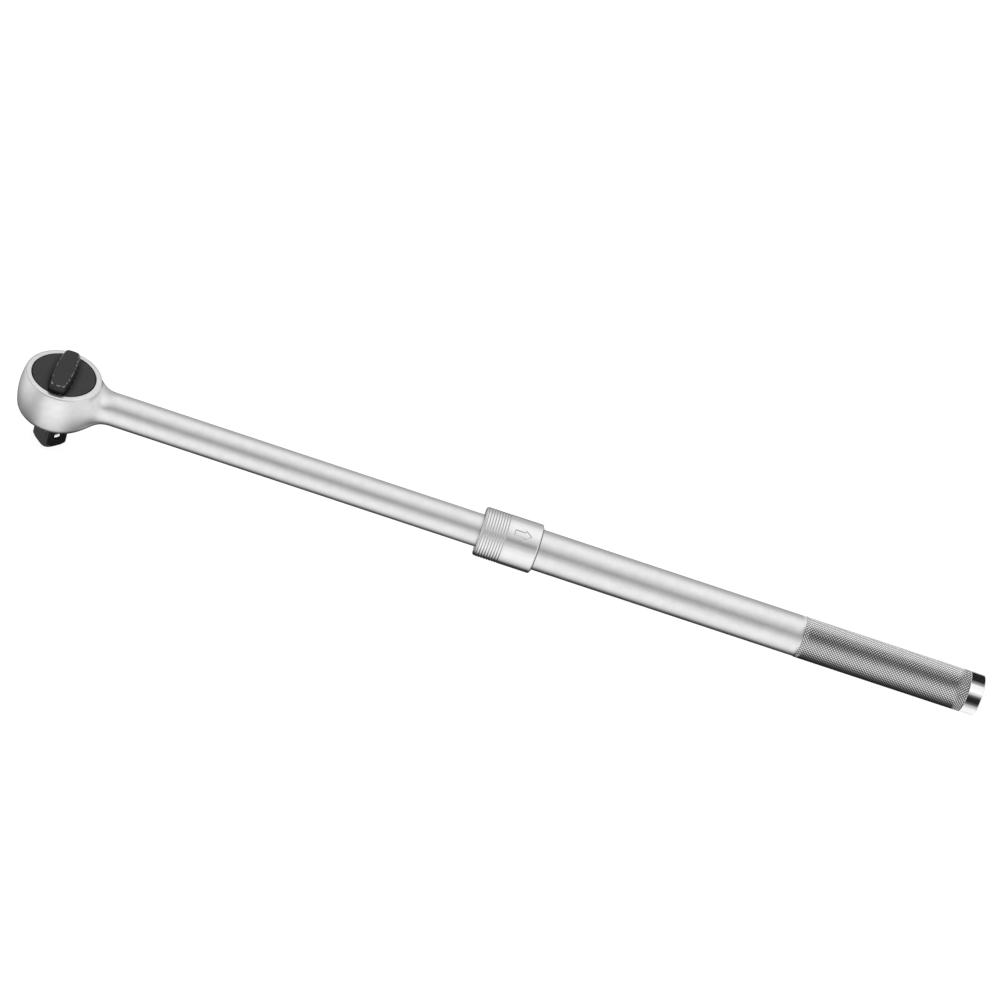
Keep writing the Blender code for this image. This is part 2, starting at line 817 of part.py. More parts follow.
def pawl_outline():
    """The pawl's outline in its middle position, running round from its left end."""
    left = pawl_end(-1)
    right = pawl_end(1)
    crown = [polar(DRUM_RADIUS - PAWL_CROWN_DEPTH, angle) for angle in PAWL_CROWN_ANGLES]
    wing = (left[-1][0] + 0.0002, left[-1][1] - PAWL_WING_STEP)
    outline = list(reversed(left)) + crown + right
    outline += [(-wing[0], wing[1])]
    outline += list(reversed(pawl_back()))
    outline += [wing]
    return outline


def pawl_mesh():
    """Pawl about its pin's axis, rocked to its first working end, with the pin's hole."""
    pin = Vector((0.0, PAWL_PIN_REACH))
    outline = [tuple(Vector(point) - pin) for point in pawl_outline()]
    outline = [rotated(point, (0.0, 0.0), PAWL_ROCK) for point in outline]
    outline.reverse()
    return prism("pawl", outline, -PAWL_HALF_HEIGHT, PAWL_HALF_HEIGHT)


def mechanism_point(x, y, z=0.0):
    """A point of the pawl's layout, with +Y as the pawl's way, in the drive's frame."""
    flat = rotated((x, y), (0.0, 0.0), MECHANISM_ANGLE - math.pi / 2)
    return (flat[0], flat[1], z)


def build_pawl(parent):
    """Double-ended pawl, rocking on its pin."""
    lean = MECHANISM_ANGLE - math.pi / 2
    place = mechanism_point(0.0, PAWL_PIN_REACH)
    obj = new_object("pawl", pawl_mesh(), hardened_steel(), parent, place, lean)
    hole = rod_between("pawl_hole", (0, 0, -0.01), (0, 0, 0.01), PAWL_PIN_BORE, 20)
    boolean(obj, hole)
    return obj


def build_pawl_pin(parent):
    length = PAWL_PIN_HALF_LENGTH
    mesh = rod_between("pawl_pin", (0, 0, -length), (0, 0, length), PAWL_PIN_RADIUS, 20)
    place = mechanism_point(0.0, PAWL_PIN_REACH)
    return new_object("pawl_pin", mesh, hardened_steel(), parent, place)


def build_dial_pin(parent):
    """Cross pin that holds the dial's stem in the core."""
    start = (DIAL_PIN_START, -DIAL_PIN_OFFSET, 0)
    end = (DIAL_PIN_END, -DIAL_PIN_OFFSET, 0)
    mesh = rod_between("dial_pin", start, end, DIAL_PIN_RADIUS, 16)
    lean = MECHANISM_ANGLE - math.pi / 2
    place = (0.0, 0.0, DIAL_PIN_HEIGHT)
    return new_object("dial_retaining_pin", mesh, hardened_steel(), parent, place, lean)


def build_thrust_washer(parent):
    high = RING_POCKET_TOP - GAP
    low = SNAP_GROOVE_TOP + 0.0001
    inner = NECK_RADIUS + GAP
    outer = RING_POCKET_RADIUS - GAP
    profile = [(inner, high), (outer, high), (outer, low), (inner, low)]
    mesh = turned("thrust_washer", profile, 32)
    return new_object("thrust_washer", mesh, bronze(), parent)


def ring_gap_mesh(radius, low, high, half):
    """Block that opens a snap ring."""
    outline = [(0.0, -half), (radius, -half), (radius, half), (0.0, half)]
    return prism("ring_opening", outline, low, high)


def build_snap_ring(parent):
    """Open snap ring in the neck's groove, holding the core up in the head."""
    high = SNAP_GROOVE_TOP - GAP
    low = SNAP_GROOVE_BOTTOM + GAP
    inner = SNAP_GROOVE_RADIUS + GAP
    outer = RING_POCKET_RADIUS - 2 * GAP
    profile = [(inner, high), (outer, high), (outer, low), (inner, low)]
    mesh = turned("snap_ring", profile, 32)
    obj = new_object("core_snap_ring", mesh, spring_steel(), parent)
    reach = outer + 0.002
    boolean(obj, ring_gap_mesh(reach, low - 0.001, high + 0.001, SNAP_OPENING_HALF))
    return obj


def build_neck_seal(parent):
    mesh = torus("neck_seal", NECK_SEAL_RADIUS, NECK_SEAL_SECTION, 32, 6)
    return new_object("neck_seal", mesh, black_rubber(), parent, (0, 0, SEAL_GROOVE_HEIGHT))


def build_detent_ball(parent):
    """Sprung ball in the square's side that holds a socket."""
    place = Matrix.Rotation(DETENT_DIRECTION, 3, "Z") @ Vector((DETENT_BALL_REACH, 0, 0))
    place.z = DETENT_HEIGHT
    mesh = ball("detent_ball", DETENT_BALL_RADIUS)
    return new_object("detent_ball", mesh, bright_chrome(), parent, place)


def build_detent_spring(parent):
    low = DETENT_BORE_FLOOR + GAP
    high = DETENT_BALL_REACH - DETENT_BALL_RADIUS - GAP
    radius, wire, turns = DETENT_SPRING_RADIUS, DETENT_SPRING_WIRE, DETENT_SPRING_TURNS
    mesh = coil("detent_spring", radius, wire, low, high, turns, 8, 4)
    mesh.transform(along_x())
    place = (0, 0, DETENT_HEIGHT)
    return new_object(
        "detent_spring", mesh, spring_steel(), parent, place, DETENT_DIRECTION
    )


# Direction dial


def dial_profile():
    """Disc with its seal groove and the stem with its pin groove."""
    seal_high = DIAL_SEAL_HEIGHT + DIAL_SEAL_GROOVE_HALF
    seal_low = DIAL_SEAL_HEIGHT - DIAL_SEAL_GROOVE_HALF
    return [
        (0.0, DIAL_TOP),
        (DIAL_RADIUS - DIAL_EDGE, DIAL_TOP),
        (DIAL_RADIUS, DIAL_TOP - DIAL_EDGE),
        (DIAL_RADIUS, seal_high),
        (DIAL_SEAL_GROOVE_RADIUS, seal_high),
        (DIAL_SEAL_GROOVE_RADIUS, seal_low),
        (DIAL_RADIUS, seal_low),
        (DIAL_RADIUS, DIAL_BOTTOM),
        (STEM_RADIUS, DIAL_BOTTOM),
        (STEM_RADIUS, STEM_GROOVE_TOP),
        (STEM_GROOVE_RADIUS, STEM_GROOVE_TOP),
        (STEM_GROOVE_RADIUS, STEM_GROOVE_BOTTOM),
        (STEM_RADIUS, STEM_GROOVE_BOTTOM),
        (STEM_RADIUS, STEM_BOTTOM),
        (0.0, STEM_BOTTOM),
    ]


def lever_quarter(reach, middle_half, end_half, corner):
    """A quarter of the lever's plan, from the middle of its end to the middle of its side."""
    tip = math.asin((end_half - corner) / (reach - corner))
    centre_x = (reach - corner) * math.cos(tip)
    centre_y = end_half - corner
    points = [(reach * math.cos(tip * share), reach * math.sin(tip * share)) for share in (0.0, 0.5)]
    steps = 3
    for step in range(steps + 1):
        turn = tip + (math.pi / 2 - tip) * step / steps
        points.append((centre_x + corner * math.cos(turn), centre_y + corner * math.sin(turn)))
    for share in (0.66, 0.33, 0.0):
        bow = end_half + (middle_half - end_half) * (1.0 - share * share)
        points.append((centre_x * share, bow))
    return points


def lever_ring(bm, reach, inset, corner, height):
    """One closed level of the lever's outline."""
    quarter = lever_quarter(reach, LEVER_MIDDLE_HALF - inset, LEVER_END_HALF - inset, corner)
    upper = quarter + [(-x, y) for x, y in reversed(quarter[:-1])]
    lower = [(x, -y) for x, y in reversed(upper[1:-1])]
    return [bm.verts.new((x, y, height)) for x, y in upper + lower]


def lever_mesh():
    """Raised bar across the disc, along its own X: bowed sides that lean in, round ends."""
    bm = bmesh.new()
    top = DIAL_TOP + LEVER_HEIGHT
    shoulder = top - LEVER_EDGE
    lean = LEVER_TOP_INSET - LEVER_EDGE
    levels = (
        (LEVER_REACH, 0.0, LEVER_CORNER, DIAL_TOP - 0.001),
        (LEVER_TOP_REACH, lean, LEVER_CORNER - lean / 2, shoulder),
        (LEVER_TOP_REACH - LEVER_EDGE, LEVER_TOP_INSET, LEVER_CORNER - lean, top),
    )
    rings = [lever_ring(bm, *level) for level in levels]
    for near, far in zip(rings, rings[1:]):
        for index in range(len(near)):
            after = (index + 1) % len(near)
            bm.faces.new((near[index], near[after], far[after], far[index]))
    bm.faces.new(rings[0])
    bm.faces.new(rings[-1])
    return to_mesh(bm, "lever")


def build_dial(parent):
    """Direction dial: disc, lever bar and stem in one piece."""
    mesh = turned("dial", dial_profile(), 48)
    obj = new_object("direction_dial", mesh, black_dial(), parent, spin=LEVER_ANGLE)
    boolean(obj, lever_mesh(), "UNION")
    hole = rod_between(
        "plunger_bore", (PLUNGER_BORE_FLOOR, 0, 0), (0.01, 0, 0), PLUNGER_BORE_RADIUS, 24
    )
    boolean(obj, hole)
    return obj


def plunger_profile():
    """Cup-shaped plunger about Z: round nose up, open at its back."""
    nose = PLUNGER_TIP - PLUNGER_RADIUS
    points = [(0.0, PLUNGER_HOLLOW_END), (PLUNGER_HOLLOW_RADIUS, PLUNGER_HOLLOW_END)]
    points.append((PLUNGER_HOLLOW_RADIUS, PLUNGER_BACK))
    points.append((PLUNGER_RADIUS, PLUNGER_BACK))
    steps = 5
    for step in range(steps + 1):
        turn = math.pi / 2 * step / steps
        radius = PLUNGER_RADIUS * math.cos(turn)
        points.append((radius if step < steps else 0.0, nose + PLUNGER_RADIUS * math.sin(turn)))
    return points


def build_plunger(parent):
    mesh = turned("plunger", plunger_profile(), 24, "X")
    return new_object("dial_plunger", mesh, hardened_steel(), parent, spin=LEVER_ANGLE)


def build_plunger_spring(parent):
    low = PLUNGER_BORE_FLOOR + GAP
    high = PLUNGER_HOLLOW_END - GAP
    radius, wire, turns = PLUNGER_SPRING_RADIUS, PLUNGER_SPRING_WIRE, PLUNGER_SPRING_TURNS
    mesh = coil("plunger_spring", radius, wire, low, high, turns, 8, 4)
    mesh.transform(along_x())
    return new_object("plunger_spring", mesh, spring_steel(), parent, spin=LEVER_ANGLE)


def build_dial_seal(parent):
    mesh = torus("dial_seal", DIAL_SEAL_RADIUS, DIAL_SEAL_SECTION, 48, 6)
    return new_object("dial_seal", mesh, black_rubber(), parent, (0, 0, DIAL_SEAL_HEIGHT))


# Tail of the shank


def build_tail_bush(parent):
    """Guide bush on the shank's stub, running in the grip tube."""
    start, end = SHANK_END + GAP, STUB_END - GAP
    inner = STUB_RADIUS + GAP
    edge = 0.0008
    profile = [
        (inner, start),
        (inner, end),
        (TAIL_BUSH_RADIUS - edge, end),
        (TAIL_BUSH_RADIUS, end - edge),
        (TAIL_BUSH_RADIUS, start + edge),
        (TAIL_BUSH_RADIUS - edge, start),
    ]
    return new_object("tail_guide_bush", turned("tail_bush", profile, 32, "X"), bronze(), parent)


def build_tail_washer(parent):
    start = STUB_END + GAP
    end = start + TAIL_WASHER_THICKNESS
    inner = TAIL_SCREW_RADIUS + GAP
    outer = TAIL_WASHER_RADIUS
    profile = [(inner, start), (inner, end), (outer, end), (outer, start)]
    mesh = turned("tail_washer", profile, 28, "X")
    return new_object("tail_washer", mesh, hardened_steel(), parent)


def build_tail_screw(parent):
    """Socket-head screw that holds the guide bush."""
    head = STUB_END + TAIL_WASHER_THICKNESS + 2 * GAP
    end = head + TAIL_SCREW_HEAD_LENGTH
    profile = [
        (0.0, SCREW_BORE_START + 2 * GAP),
        (TAIL_SCREW_RADIUS, SCREW_BORE_START + 2 * GAP),
        (TAIL_SCREW_RADIUS, head),
        (TAIL_SCREW_HEAD_RADIUS, head),
        (TAIL_SCREW_HEAD_RADIUS, end),
        (0.0, end),
    ]
    mesh = turned("tail_screw", profile, 24, "X")
    obj = new_object("tail_screw", mesh, hardened_steel(), parent)
    key = rod_between(
        "screw_key",
        (end - TAIL_SCREW_KEY_DEPTH, 0, 0),
        (end + 0.001, 0, 0),
        TAIL_SCREW_KEY_WIDTH / math.sqrt(3),
        6,
    )
    boolean(obj, key)
    return obj


# Grip tube and its fittings


def tube_profile():
    """Grip tube outline with the circlip groove and the raised knurl band."""
    mouth = 0.0006
    step = KNURL_RADIUS - TUBE_RADIUS
    return [
        (TUBE_BORE_RADIUS, TUBE_START),
        (TUBE_BORE_RADIUS, TUBE_END),
        (KNURL_RADIUS, TUBE_END),
        (KNURL_RADIUS, KNURL_START + step),
        (TUBE_RADIUS, KNURL_START),
        (TUBE_RADIUS, CIRCLIP_GROOVE_END),
        (CIRCLIP_GROOVE_RADIUS, CIRCLIP_GROOVE_END),
        (CIRCLIP_GROOVE_RADIUS, CIRCLIP_GROOVE_START),
        (TUBE_RADIUS, CIRCLIP_GROOVE_START),
        (TUBE_RADIUS, TUBE_START + mouth),
        (TUBE_RADIUS - mouth, TUBE_START),
    ]


def ball_hole_mesh(name):
    """Radial hole on the underside for the lock ball."""
    start = (LOCK_BALL_X, 0, -BUSH_BORE_RADIUS + 0.004)
    end = (LOCK_BALL_X, 0, -TUBE_RADIUS - 0.002)
    return rod_between(name, start, end, BALL_HOLE_RADIUS, 24)


def bush_pin_hole_mesh(name):
    """Radial hole on top for the front bush's pin."""
    start = (BUSH_PIN_X, 0, BUSH_BORE_RADIUS - 0.002)
    end = (BUSH_PIN_X, 0, TUBE_RADIUS + 0.002)
    return rod_between(name, start, end, BUSH_PIN_HOLE, 16)


def build_tube(parent):
    mesh = turned("grip_tube", tube_profile(), TUBE_SEGMENTS, "X")
    obj = new_object("grip_tube", mesh, satin_chrome(), parent)
    mesh.materials.append(knurled_chrome())
    for face in mesh.polygons:
        if face.center.x > KNURL_START and face.center.yz.length > TUBE_RADIUS:
            face.material_index = 1
    boolean(obj, ball_hole_mesh("tube_ball_hole"))
    boolean(obj, bush_pin_hole_mesh("tube_pin_hole"))
    return obj


def build_front_bush(parent):
    """Bearing bush in the tube's mouth."""
    profile = [
        (BUSH_BORE_RADIUS, BUSH_START),
        (BUSH_BORE_RADIUS, BUSH_END),
        (BUSH_RADIUS, BUSH_END),
        (BUSH_RADIUS, BUSH_START),
    ]
    obj = new_object("front_bush", turned("front_bush", profile, 32, "X"), bronze(), parent)
    boolean(obj, ball_hole_mesh("bush_ball_hole"))
    boolean(obj, bush_pin_hole_mesh("bush_pin_hole"))
    return obj


def build_bush_pin(parent):
    start = (0, 0, BUSH_PIN_INNER)
    end = (0, 0, BUSH_PIN_OUTER)
    mesh = rod_between("bush_pin", start, end, BUSH_PIN_RADIUS, 16)
    return new_object("bush_pin", mesh, hardened_steel(), parent, (BUSH_PIN_X, 0, 0))


def build_wiper(parent):
    """Rubber ring that wipes the shank at the tube's mouth."""
    profile = [
        (BUSH_BORE_RADIUS, WIPER_START),
        (BUSH_BORE_RADIUS, WIPER_END),
        (BUSH_RADIUS, WIPER_END),
        (BUSH_RADIUS, WIPER_START),
    ]
    mesh = turned("shank_wiper", profile, 32, "X")
    return new_object("shank_wiper", mesh, black_rubber(), parent)


def build_circlip(parent):
    """Open retaining ring that stops the collar's forward travel."""
    start = CIRCLIP_GROOVE_START + GAP
    end = CIRCLIP_GROOVE_END - GAP
    inner = CIRCLIP_GROOVE_RADIUS + GAP
    profile = [(inner, start), (inner, end), (CIRCLIP_RADIUS, end), (CIRCLIP_RADIUS, start)]
    mesh = turned("collar_circlip", profile, 32, "X")
    obj = new_object("collar_circlip", mesh, spring_steel(), parent)
    half = CIRCLIP_OPENING_HALF
    opening = ring_gap_mesh(CIRCLIP_RADIUS + half, -half, half, half)
    opening.transform(Matrix.Rotation(math.pi / 2, 4, "Y"))
    opening.transform(Matrix.Translation(((start + end) / 2, 0, 0)))
    boolean(obj, opening)
    return obj


def build_seat(parent):
    """Ring on the tube that backs the collar's spring."""
    edge = 0.0004
    profile = [
        (SEAT_BORE_RADIUS, SEAT_START),
        (SEAT_BORE_RADIUS, SEAT_END),
        (SEAT_RADIUS - edge, SEAT_END),
        (SEAT_RADIUS, SEAT_END - edge),
        (SEAT_RADIUS, SEAT_START),
    ]
    mesh = turned("spring_seat", profile, 32, "X")
    return new_object("spring_seat_ring", mesh, black_oxide(), parent)


def build_lock_ball(parent):
    mesh = ball("lock_ball", LOCK_BALL_RADIUS)
    place = (LOCK_BALL_X, 0, -LOCK_BALL_OFFSET)
    return new_object("lock_ball", mesh, hardened_steel(), parent, place)


# Lock collar


def collar_profile():
    """Grooved collar outline: bores from front to rear, then the outside back again."""
    points = [
        (COLLAR_FRONT_BORE, COLLAR_FRONT),
        (COLLAR_FRONT_BORE, COLLAR_STOP_START),
        (COLLAR_LAND_RADIUS, COLLAR_STOP_START),
        (COLLAR_LAND_RADIUS, COLLAR_RECESS_START),
        (COLLAR_RECESS_RADIUS, COLLAR_RECESS_START),
        (COLLAR_RECESS_RADIUS, COLLAR_RECESS_END),
        (COLLAR_LAND_RADIUS, COLLAR_RAMP_END),
        (COLLAR_LAND_RADIUS, COLLAR_SHOULDER),
        (COLLAR_REAR_BORE, COLLAR_SHOULDER),
        (COLLAR_REAR_BORE, COLLAR_REAR),
        (COLLAR_RADIUS - COLLAR_EDGE, COLLAR_REAR),
        (COLLAR_RADIUS, COLLAR_REAR - COLLAR_EDGE),
    ]
    for index in reversed(range(GROOVE_COUNT)):
        middle = GROOVE_FIRST + GROOVE_PITCH * index
        points.append((COLLAR_RADIUS, middle + GROOVE_HALF_WIDTH))
        points.append((COLLAR_RADIUS - GROOVE_DEPTH, middle))
        points.append((COLLAR_RADIUS, middle - GROOVE_HALF_WIDTH))
    points.append((COLLAR_RADIUS, COLLAR_FRONT + COLLAR_EDGE))
    points.append((COLLAR_RADIUS - COLLAR_EDGE, COLLAR_FRONT))
    return points


def build_collar(parent):
    """Sprung collar, drawn towards the grip to free the lock ball."""
    start = Vector((0.0, COLLAR_FRONT))
    profile = [tuple(Vector(point) - start) for point in collar_profile()]
    mesh = turned("lock_collar", profile, COLLAR_SEGMENTS, "X")
    return new_object("lock_collar", mesh, satin_chrome(), parent)


def build_collar_spring(parent):
    low = COLLAR_SHOULDER + GAP
    high = SEAT_START - GAP
    mesh = coil(
        "collar_spring",
        COLLAR_SPRING_RADIUS,
        COLLAR_SPRING_WIRE,
        low,
        high,
        COLLAR_SPRING_TURNS,
        22,
        4,
    )
    mesh.transform(along_x())
    return new_object("collar_spring", mesh, spring_steel(), parent)


# End of the grip


def build_cap(parent):
    """Chromed end cap with its plug in the tube."""
    profile = [
        (0.0, PLUG_START),
        (PLUG_RADIUS - PLUG_CHAMFER, PLUG_START),
        (PLUG_RADIUS, PLUG_START + PLUG_CHAMFER),
        (PLUG_RADIUS, CAP_START),
        (CAP_RADIUS, CAP_START),
        (CAP_RADIUS, CAP_END - CAP_CHAMFER),
        (CAP_RADIUS - CAP_CHAMFER, CAP_END),
        (0.0, CAP_END),
    ]
    return new_object("end_cap", turned("end_cap", profile, 40, "X"), bright_chrome(), parent)


def build_bumper(parent):
    """Rubber disc that the shank's tail meets when the handle is closed."""
    profile = [
        (0.0, BUMPER_START),
        (BUMPER_RADIUS, BUMPER_START),
        (BUMPER_RADIUS, BUMPER_END),
        (0.0, BUMPER_END),
    ]
    return new_object("end_bumper", turned("bumper", profile, 32, "X"), black_rubber(), parent)


def build():
    """Assemble the tool in its extended position."""
    clear_scene()
    tool = frame_empty("tool_frame", (0.0, 0.0, AXIS_HEIGHT))
    drive = frame_empty("drive_frame", (0.0, 0.0, 0.0), tool)
    dial = frame_empty("dial_frame", (0.0, 0.0, 0.0), drive)
    grip = frame_empty("grip_frame", (0.0, 0.0, 0.0), tool)
    collar = frame_empty("collar_frame", (COLLAR_FRONT, 0.0, 0.0), grip)
    build_head(tool)
    build_tail_bush(tool)
    build_tail_washer(tool)
    build_tail_screw(tool)
    build_core(drive)
    build_pawl(drive)
    build_pawl_pin(drive)
    build_dial_pin(drive)
    build_thrust_washer(tool)
    build_snap_ring(drive)
    build_neck_seal(drive)
    build_detent_ball(drive)
    build_detent_spring(drive)
    build_dial(dial)
    build_plunger(dial)
    build_plunger_spring(dial)
    build_dial_seal(dial)
    build_tube(grip)
    build_front_bush(grip)
    build_bush_pin(grip)
    build_wiper(grip)
    build_circlip(grip)
    build_seat(grip)
    build_lock_ball(grip)
    build_cap(grip)
    build_bumper(grip)
    build_collar_spring(grip)
    build_collar(collar)


build()
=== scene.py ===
"""Looks of the telescopic ratchet handle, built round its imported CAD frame.

Metres, in the part's own frame: the origin is the centre of the drive square's end face
and +X runs along the handle. Shapes are built about the handle's axis and then lifted to
its height. Each fine mesh stands for one CAD node; the other nodes stay, with a finish.
"""

import math

import bmesh
import bpy
from mathutils import Matrix, Vector


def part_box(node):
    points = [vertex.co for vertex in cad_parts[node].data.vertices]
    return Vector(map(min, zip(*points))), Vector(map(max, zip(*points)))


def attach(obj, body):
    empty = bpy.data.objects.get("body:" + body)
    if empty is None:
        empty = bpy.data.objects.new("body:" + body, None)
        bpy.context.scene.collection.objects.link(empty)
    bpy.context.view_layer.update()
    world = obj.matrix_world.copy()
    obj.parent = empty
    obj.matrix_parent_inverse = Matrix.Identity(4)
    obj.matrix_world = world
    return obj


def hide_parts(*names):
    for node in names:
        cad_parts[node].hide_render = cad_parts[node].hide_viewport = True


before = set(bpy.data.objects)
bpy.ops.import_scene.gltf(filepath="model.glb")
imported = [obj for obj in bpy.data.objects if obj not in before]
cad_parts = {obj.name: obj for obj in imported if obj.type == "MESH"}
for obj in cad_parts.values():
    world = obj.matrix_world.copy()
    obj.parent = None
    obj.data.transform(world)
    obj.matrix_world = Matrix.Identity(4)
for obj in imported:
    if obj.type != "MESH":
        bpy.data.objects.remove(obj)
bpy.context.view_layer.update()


def span(node, axis):
    """Lowest and highest place of a CAD node along one axis."""
    low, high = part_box(node)
    return low[axis], high[axis]


GAP = 0.0003  # small clearance left between faces
OVERCUT = 0.002  # how far a cutter runs past the faces it opens

# Places read from the frame
TUBE_START, TUBE_END = span("grip_tube", 0)
AXIS_HEIGHT = sum(span("grip_tube", 2)) / 2
KNURL_RADIUS = span("grip_tube", 2)[1] - AXIS_HEIGHT
COLLAR_FRONT, COLLAR_REAR = span("lock_collar", 0)
COLLAR_RADIUS = span("lock_collar", 2)[1] - AXIS_HEIGHT
PLUG_START, CAP_END = span("end_cap", 0)
CAP_RADIUS = span("end_cap", 2)[1] - AXIS_HEIGHT
HEAD_TOP = span("head_and_shank", 2)[1] - AXIS_HEIGHT
STUB_END = span("head_and_shank", 0)[1]
LEVER_TOP = span("direction_dial", 2)[1] - AXIS_HEIGHT
SHANK_END = span("tail_guide_bush", 0)[0] - GAP
BALL_X = sum(span("lock_ball", 0)) / 2
BUSH_PIN_X = sum(span("bush_pin", 0)) / 2

# Head, heights from the handle's axis
HEAD_COLUMNS = 360
HEAD_BOTTOM = -0.026
HEAD_WIDEST = -0.001
HEAD_RADIUS = 0.031
HEAD_CROWN = 7.5
HEAD_SHOULDER = -0.0163
SHOULDER_EASE = 0.003
HEAD_BOTTOM_RADIUS = 0.0172
BOTTOM_ROUND = 0.0009
RIM_ROUND = 0.0016
RIM_STEPS = 8
MOUTH_EDGE = 0.0003
CORE_BORE_RADIUS = 0.0223
CORE_BORE_FLOOR = -0.0175
DIAL_BORE_RADIUS = 0.0243
DIAL_BORE_FLOOR = 0.0136
NECK_BORE_RADIUS = 0.0139
RING_POCKET_RADIUS = 0.0156
RING_POCKET_TOP = -0.0232
TOOTH_COUNT = 36
TOOTH_DEPTH = 0.0015
TEETH_BOTTOM = -0.009
MECHANISM_ANGLE = math.radians(110)
SIDE_ROWS = 26
PATCH_HALF = 62  # columns each way from the shank that the neck's blend takes up
PATCH_BOTTOM = -0.0213
PATCH_ROWS = 4
BLEND_WIDEST = math.radians(58)
BLEND_TOP = 0.0152
BLEND_BOTTOM = -0.0205
BLEND_PULL = 0.46
NECK_ROWS = 26

# Shank and its keyway
SHANK_RADIUS = 0.0127
SHANK_START = 0.0435
SHANK_EDGE = 0.0008
STUB_RADIUS = 0.009
SCREW_BORE_RADIUS = 0.0031
SCREW_BORE_START = 0.420
LOCK_PITCH = 0.065
LOCK_POSITIONS = 5
KEYWAY_HALF_WIDTH = 0.0034
KEYWAY_FLOOR = 0.0098
POCKET_FLOOR = 0.0088
POCKET_RADIUS = 0.0032

# Drive core
DRUM_RADIUS = 0.0219
DRUM_TOP = 0.0133
DRUM_BOTTOM = -0.0171
DRUM_EDGE = 0.0005
CORE_NECK_EDGE = 0.0002
CORE_NECK_RADIUS = 0.0136
CORE_NECK_BOTTOM = -0.0266
SNAP_GROOVE_TOP = -0.0243
SNAP_GROOVE_BOTTOM = -0.0261
SNAP_GROOVE_RADIUS = 0.0127
SEAL_GROOVE_HEIGHT = -0.0203
SEAL_GROOVE_HALF = 0.00085
SEAL_GROOVE_RADIUS = 0.0123
SQUARE_SIDE = 0.01905
SQUARE_CORNER = 0.0017
SQUARE_TURNED_RADIUS = 0.0104
SQUARE_TURNED_SLOPE = 0.6
SQUARE_TURNED_EASE = 0.0003
POCKET_HALF_HEIGHT = 0.0084
POCKET_MOUTH_HALF = 0.0162
POCKET_BACK_HALF = 0.0090
POCKET_SIDE_REACH = 0.0122
POCKET_BACK_REACH = 0.0103
STEM_BORE_RADIUS = 0.0068
STEM_BORE_FLOOR = -0.0078
WINDOW_HALF_WIDTH = 0.0078
WINDOW_HALF_HEIGHT = 0.0031
WINDOW_REACH = 0.0113
PAWL_PIN_REACH = 0.0172
PAWL_PIN_LOW = -0.0128
PAWL_PIN_BORE_RADIUS = 0.0023
DIAL_PIN_OFFSET = 0.0066
DIAL_PIN_HEIGHT = 0.0109
DIAL_PIN_END = 0.0083
DIAL_PIN_BORE_RADIUS = 0.00155
DETENT_BORE_START = -0.003
DETENT_BORE_END = 0.020
DETENT_HEIGHT = -0.037
DETENT_ANGLE = math.radians(-45)
DETENT_BORE_RADIUS = 0.0032
DETENT_BALL_RADIUS = 0.0029
DETENT_BALL_REACH = 0.0079

# Dial
DIAL_RADIUS = 0.0237
DIAL_TOP = 0.0169
DIAL_BOTTOM = 0.0139
DIAL_EDGE = 0.0004
DIAL_SEAL_GROOVE = (0.0146, 0.0160)
DIAL_SEAL_GROOVE_RADIUS = 0.0228
STEM_RADIUS = 0.0065
STEM_BOTTOM = -0.0070
STEM_GROOVE = (0.0093, 0.0125)
STEM_GROOVE_RADIUS = 0.0049
PLUNGER_BORE_RADIUS = 0.0029
PLUNGER_BORE_FLOOR = -0.0045
LEVER_ANGLE = math.radians(90)
LEVER_REACH = 0.0229  # from the dial's centre to the lever's rounded ends
LEVER_MIDDLE_HALF = 0.0090
LEVER_END_HALF = 0.0073
LEVER_CORNER = 0.0034
LEVER_FACET = 0.0034  # where the ends' upper slope starts, above the disc
LEVER_FACET_REACH = 0.0218
LEVER_INSET = 0.0018
LEVER_EDGE = 0.0010
LEVER_EDGE_STEPS = 5

# Grip tube and knurl
TUBE_RADIUS = 0.015875
TUBE_BORE_RADIUS = 0.0144
TUBE_MOUTH = 0.0005
BALL_HOLE_RADIUS = 0.0033
BUSH_PIN_HOLE_RADIUS = 0.0015
PLUG_RADIUS = 0.0141
PLUG_EDGE = 0.0006
CAP_EDGE = 0.0003
CAP_CHAMFER = 0.0011
CAP_CHAMFER_EASE = 0.0004
KNURL_START = 0.587
KNURL_DEPTH = 0.00030
KNURLS_ROUND = 41
KNURL_PITCH = 0.00226
KNURL_SHARP = 22.0  # degrees
CIRCLIP_GROOVE = (0.3331, 0.3348)
CIRCLIP_GROOVE_RADIUS = 0.0153

# Collar
GROOVE_COUNT = 9
GROOVE_FIRST = 0.3331
GROOVE_PITCH = 0.0021
GROOVE_HALF_WIDTH = 0.00055
GROOVE_DEPTH = 0.0004
GROOVE_SIDE = ((1.0, 0.0), (0.8, 0.12), (0.22, 0.9))  # (place over half width, share of depth)
COLLAR_EDGE = 0.0008
COLLAR_SOFT = 0.0002
COLLAR_SHARP = 35.0  # degrees
COLLAR_FRONT_BEVEL = 0.0013
COLLAR_FRONT_BORE = 0.0175
COLLAR_REAR_BORE = 0.0177
COLLAR_LAND_RADIUS = 0.01625
COLLAR_STOP_START = 0.3351
COLLAR_RECESS = (0.3376, 0.3400)
COLLAR_RECESS_RADIUS = 0.01753
COLLAR_RAMP_END = 0.3485
COLLAR_SHOULDER = 0.3510
ARROW_START = 0.3559
ARROW_LENGTH = 0.0128
ARROW_HEAD_LENGTH = 0.0048
ARROW_HEAD_HALF = 0.0042
ARROW_SHAFT_HALF = 0.0023
ARROW_LINE_HALF = 0.00055
ARROW_DEPTH = 0.00036
# Share of painted shade at the deepest middle of the arrow's line
ARROW_DARKNESS = 0.8
ARROW_ANGLES = (28.0, 148.0, 268.0)  # degrees from the top, round towards -Y
ARROW_REACH = math.degrees((ARROW_HEAD_HALF + 2 * ARROW_LINE_HALF) / COLLAR_RADIUS)


# Mesh building


def polar(radius, angle, height):
    return Vector((radius * math.cos(angle), radius * math.sin(angle), height))


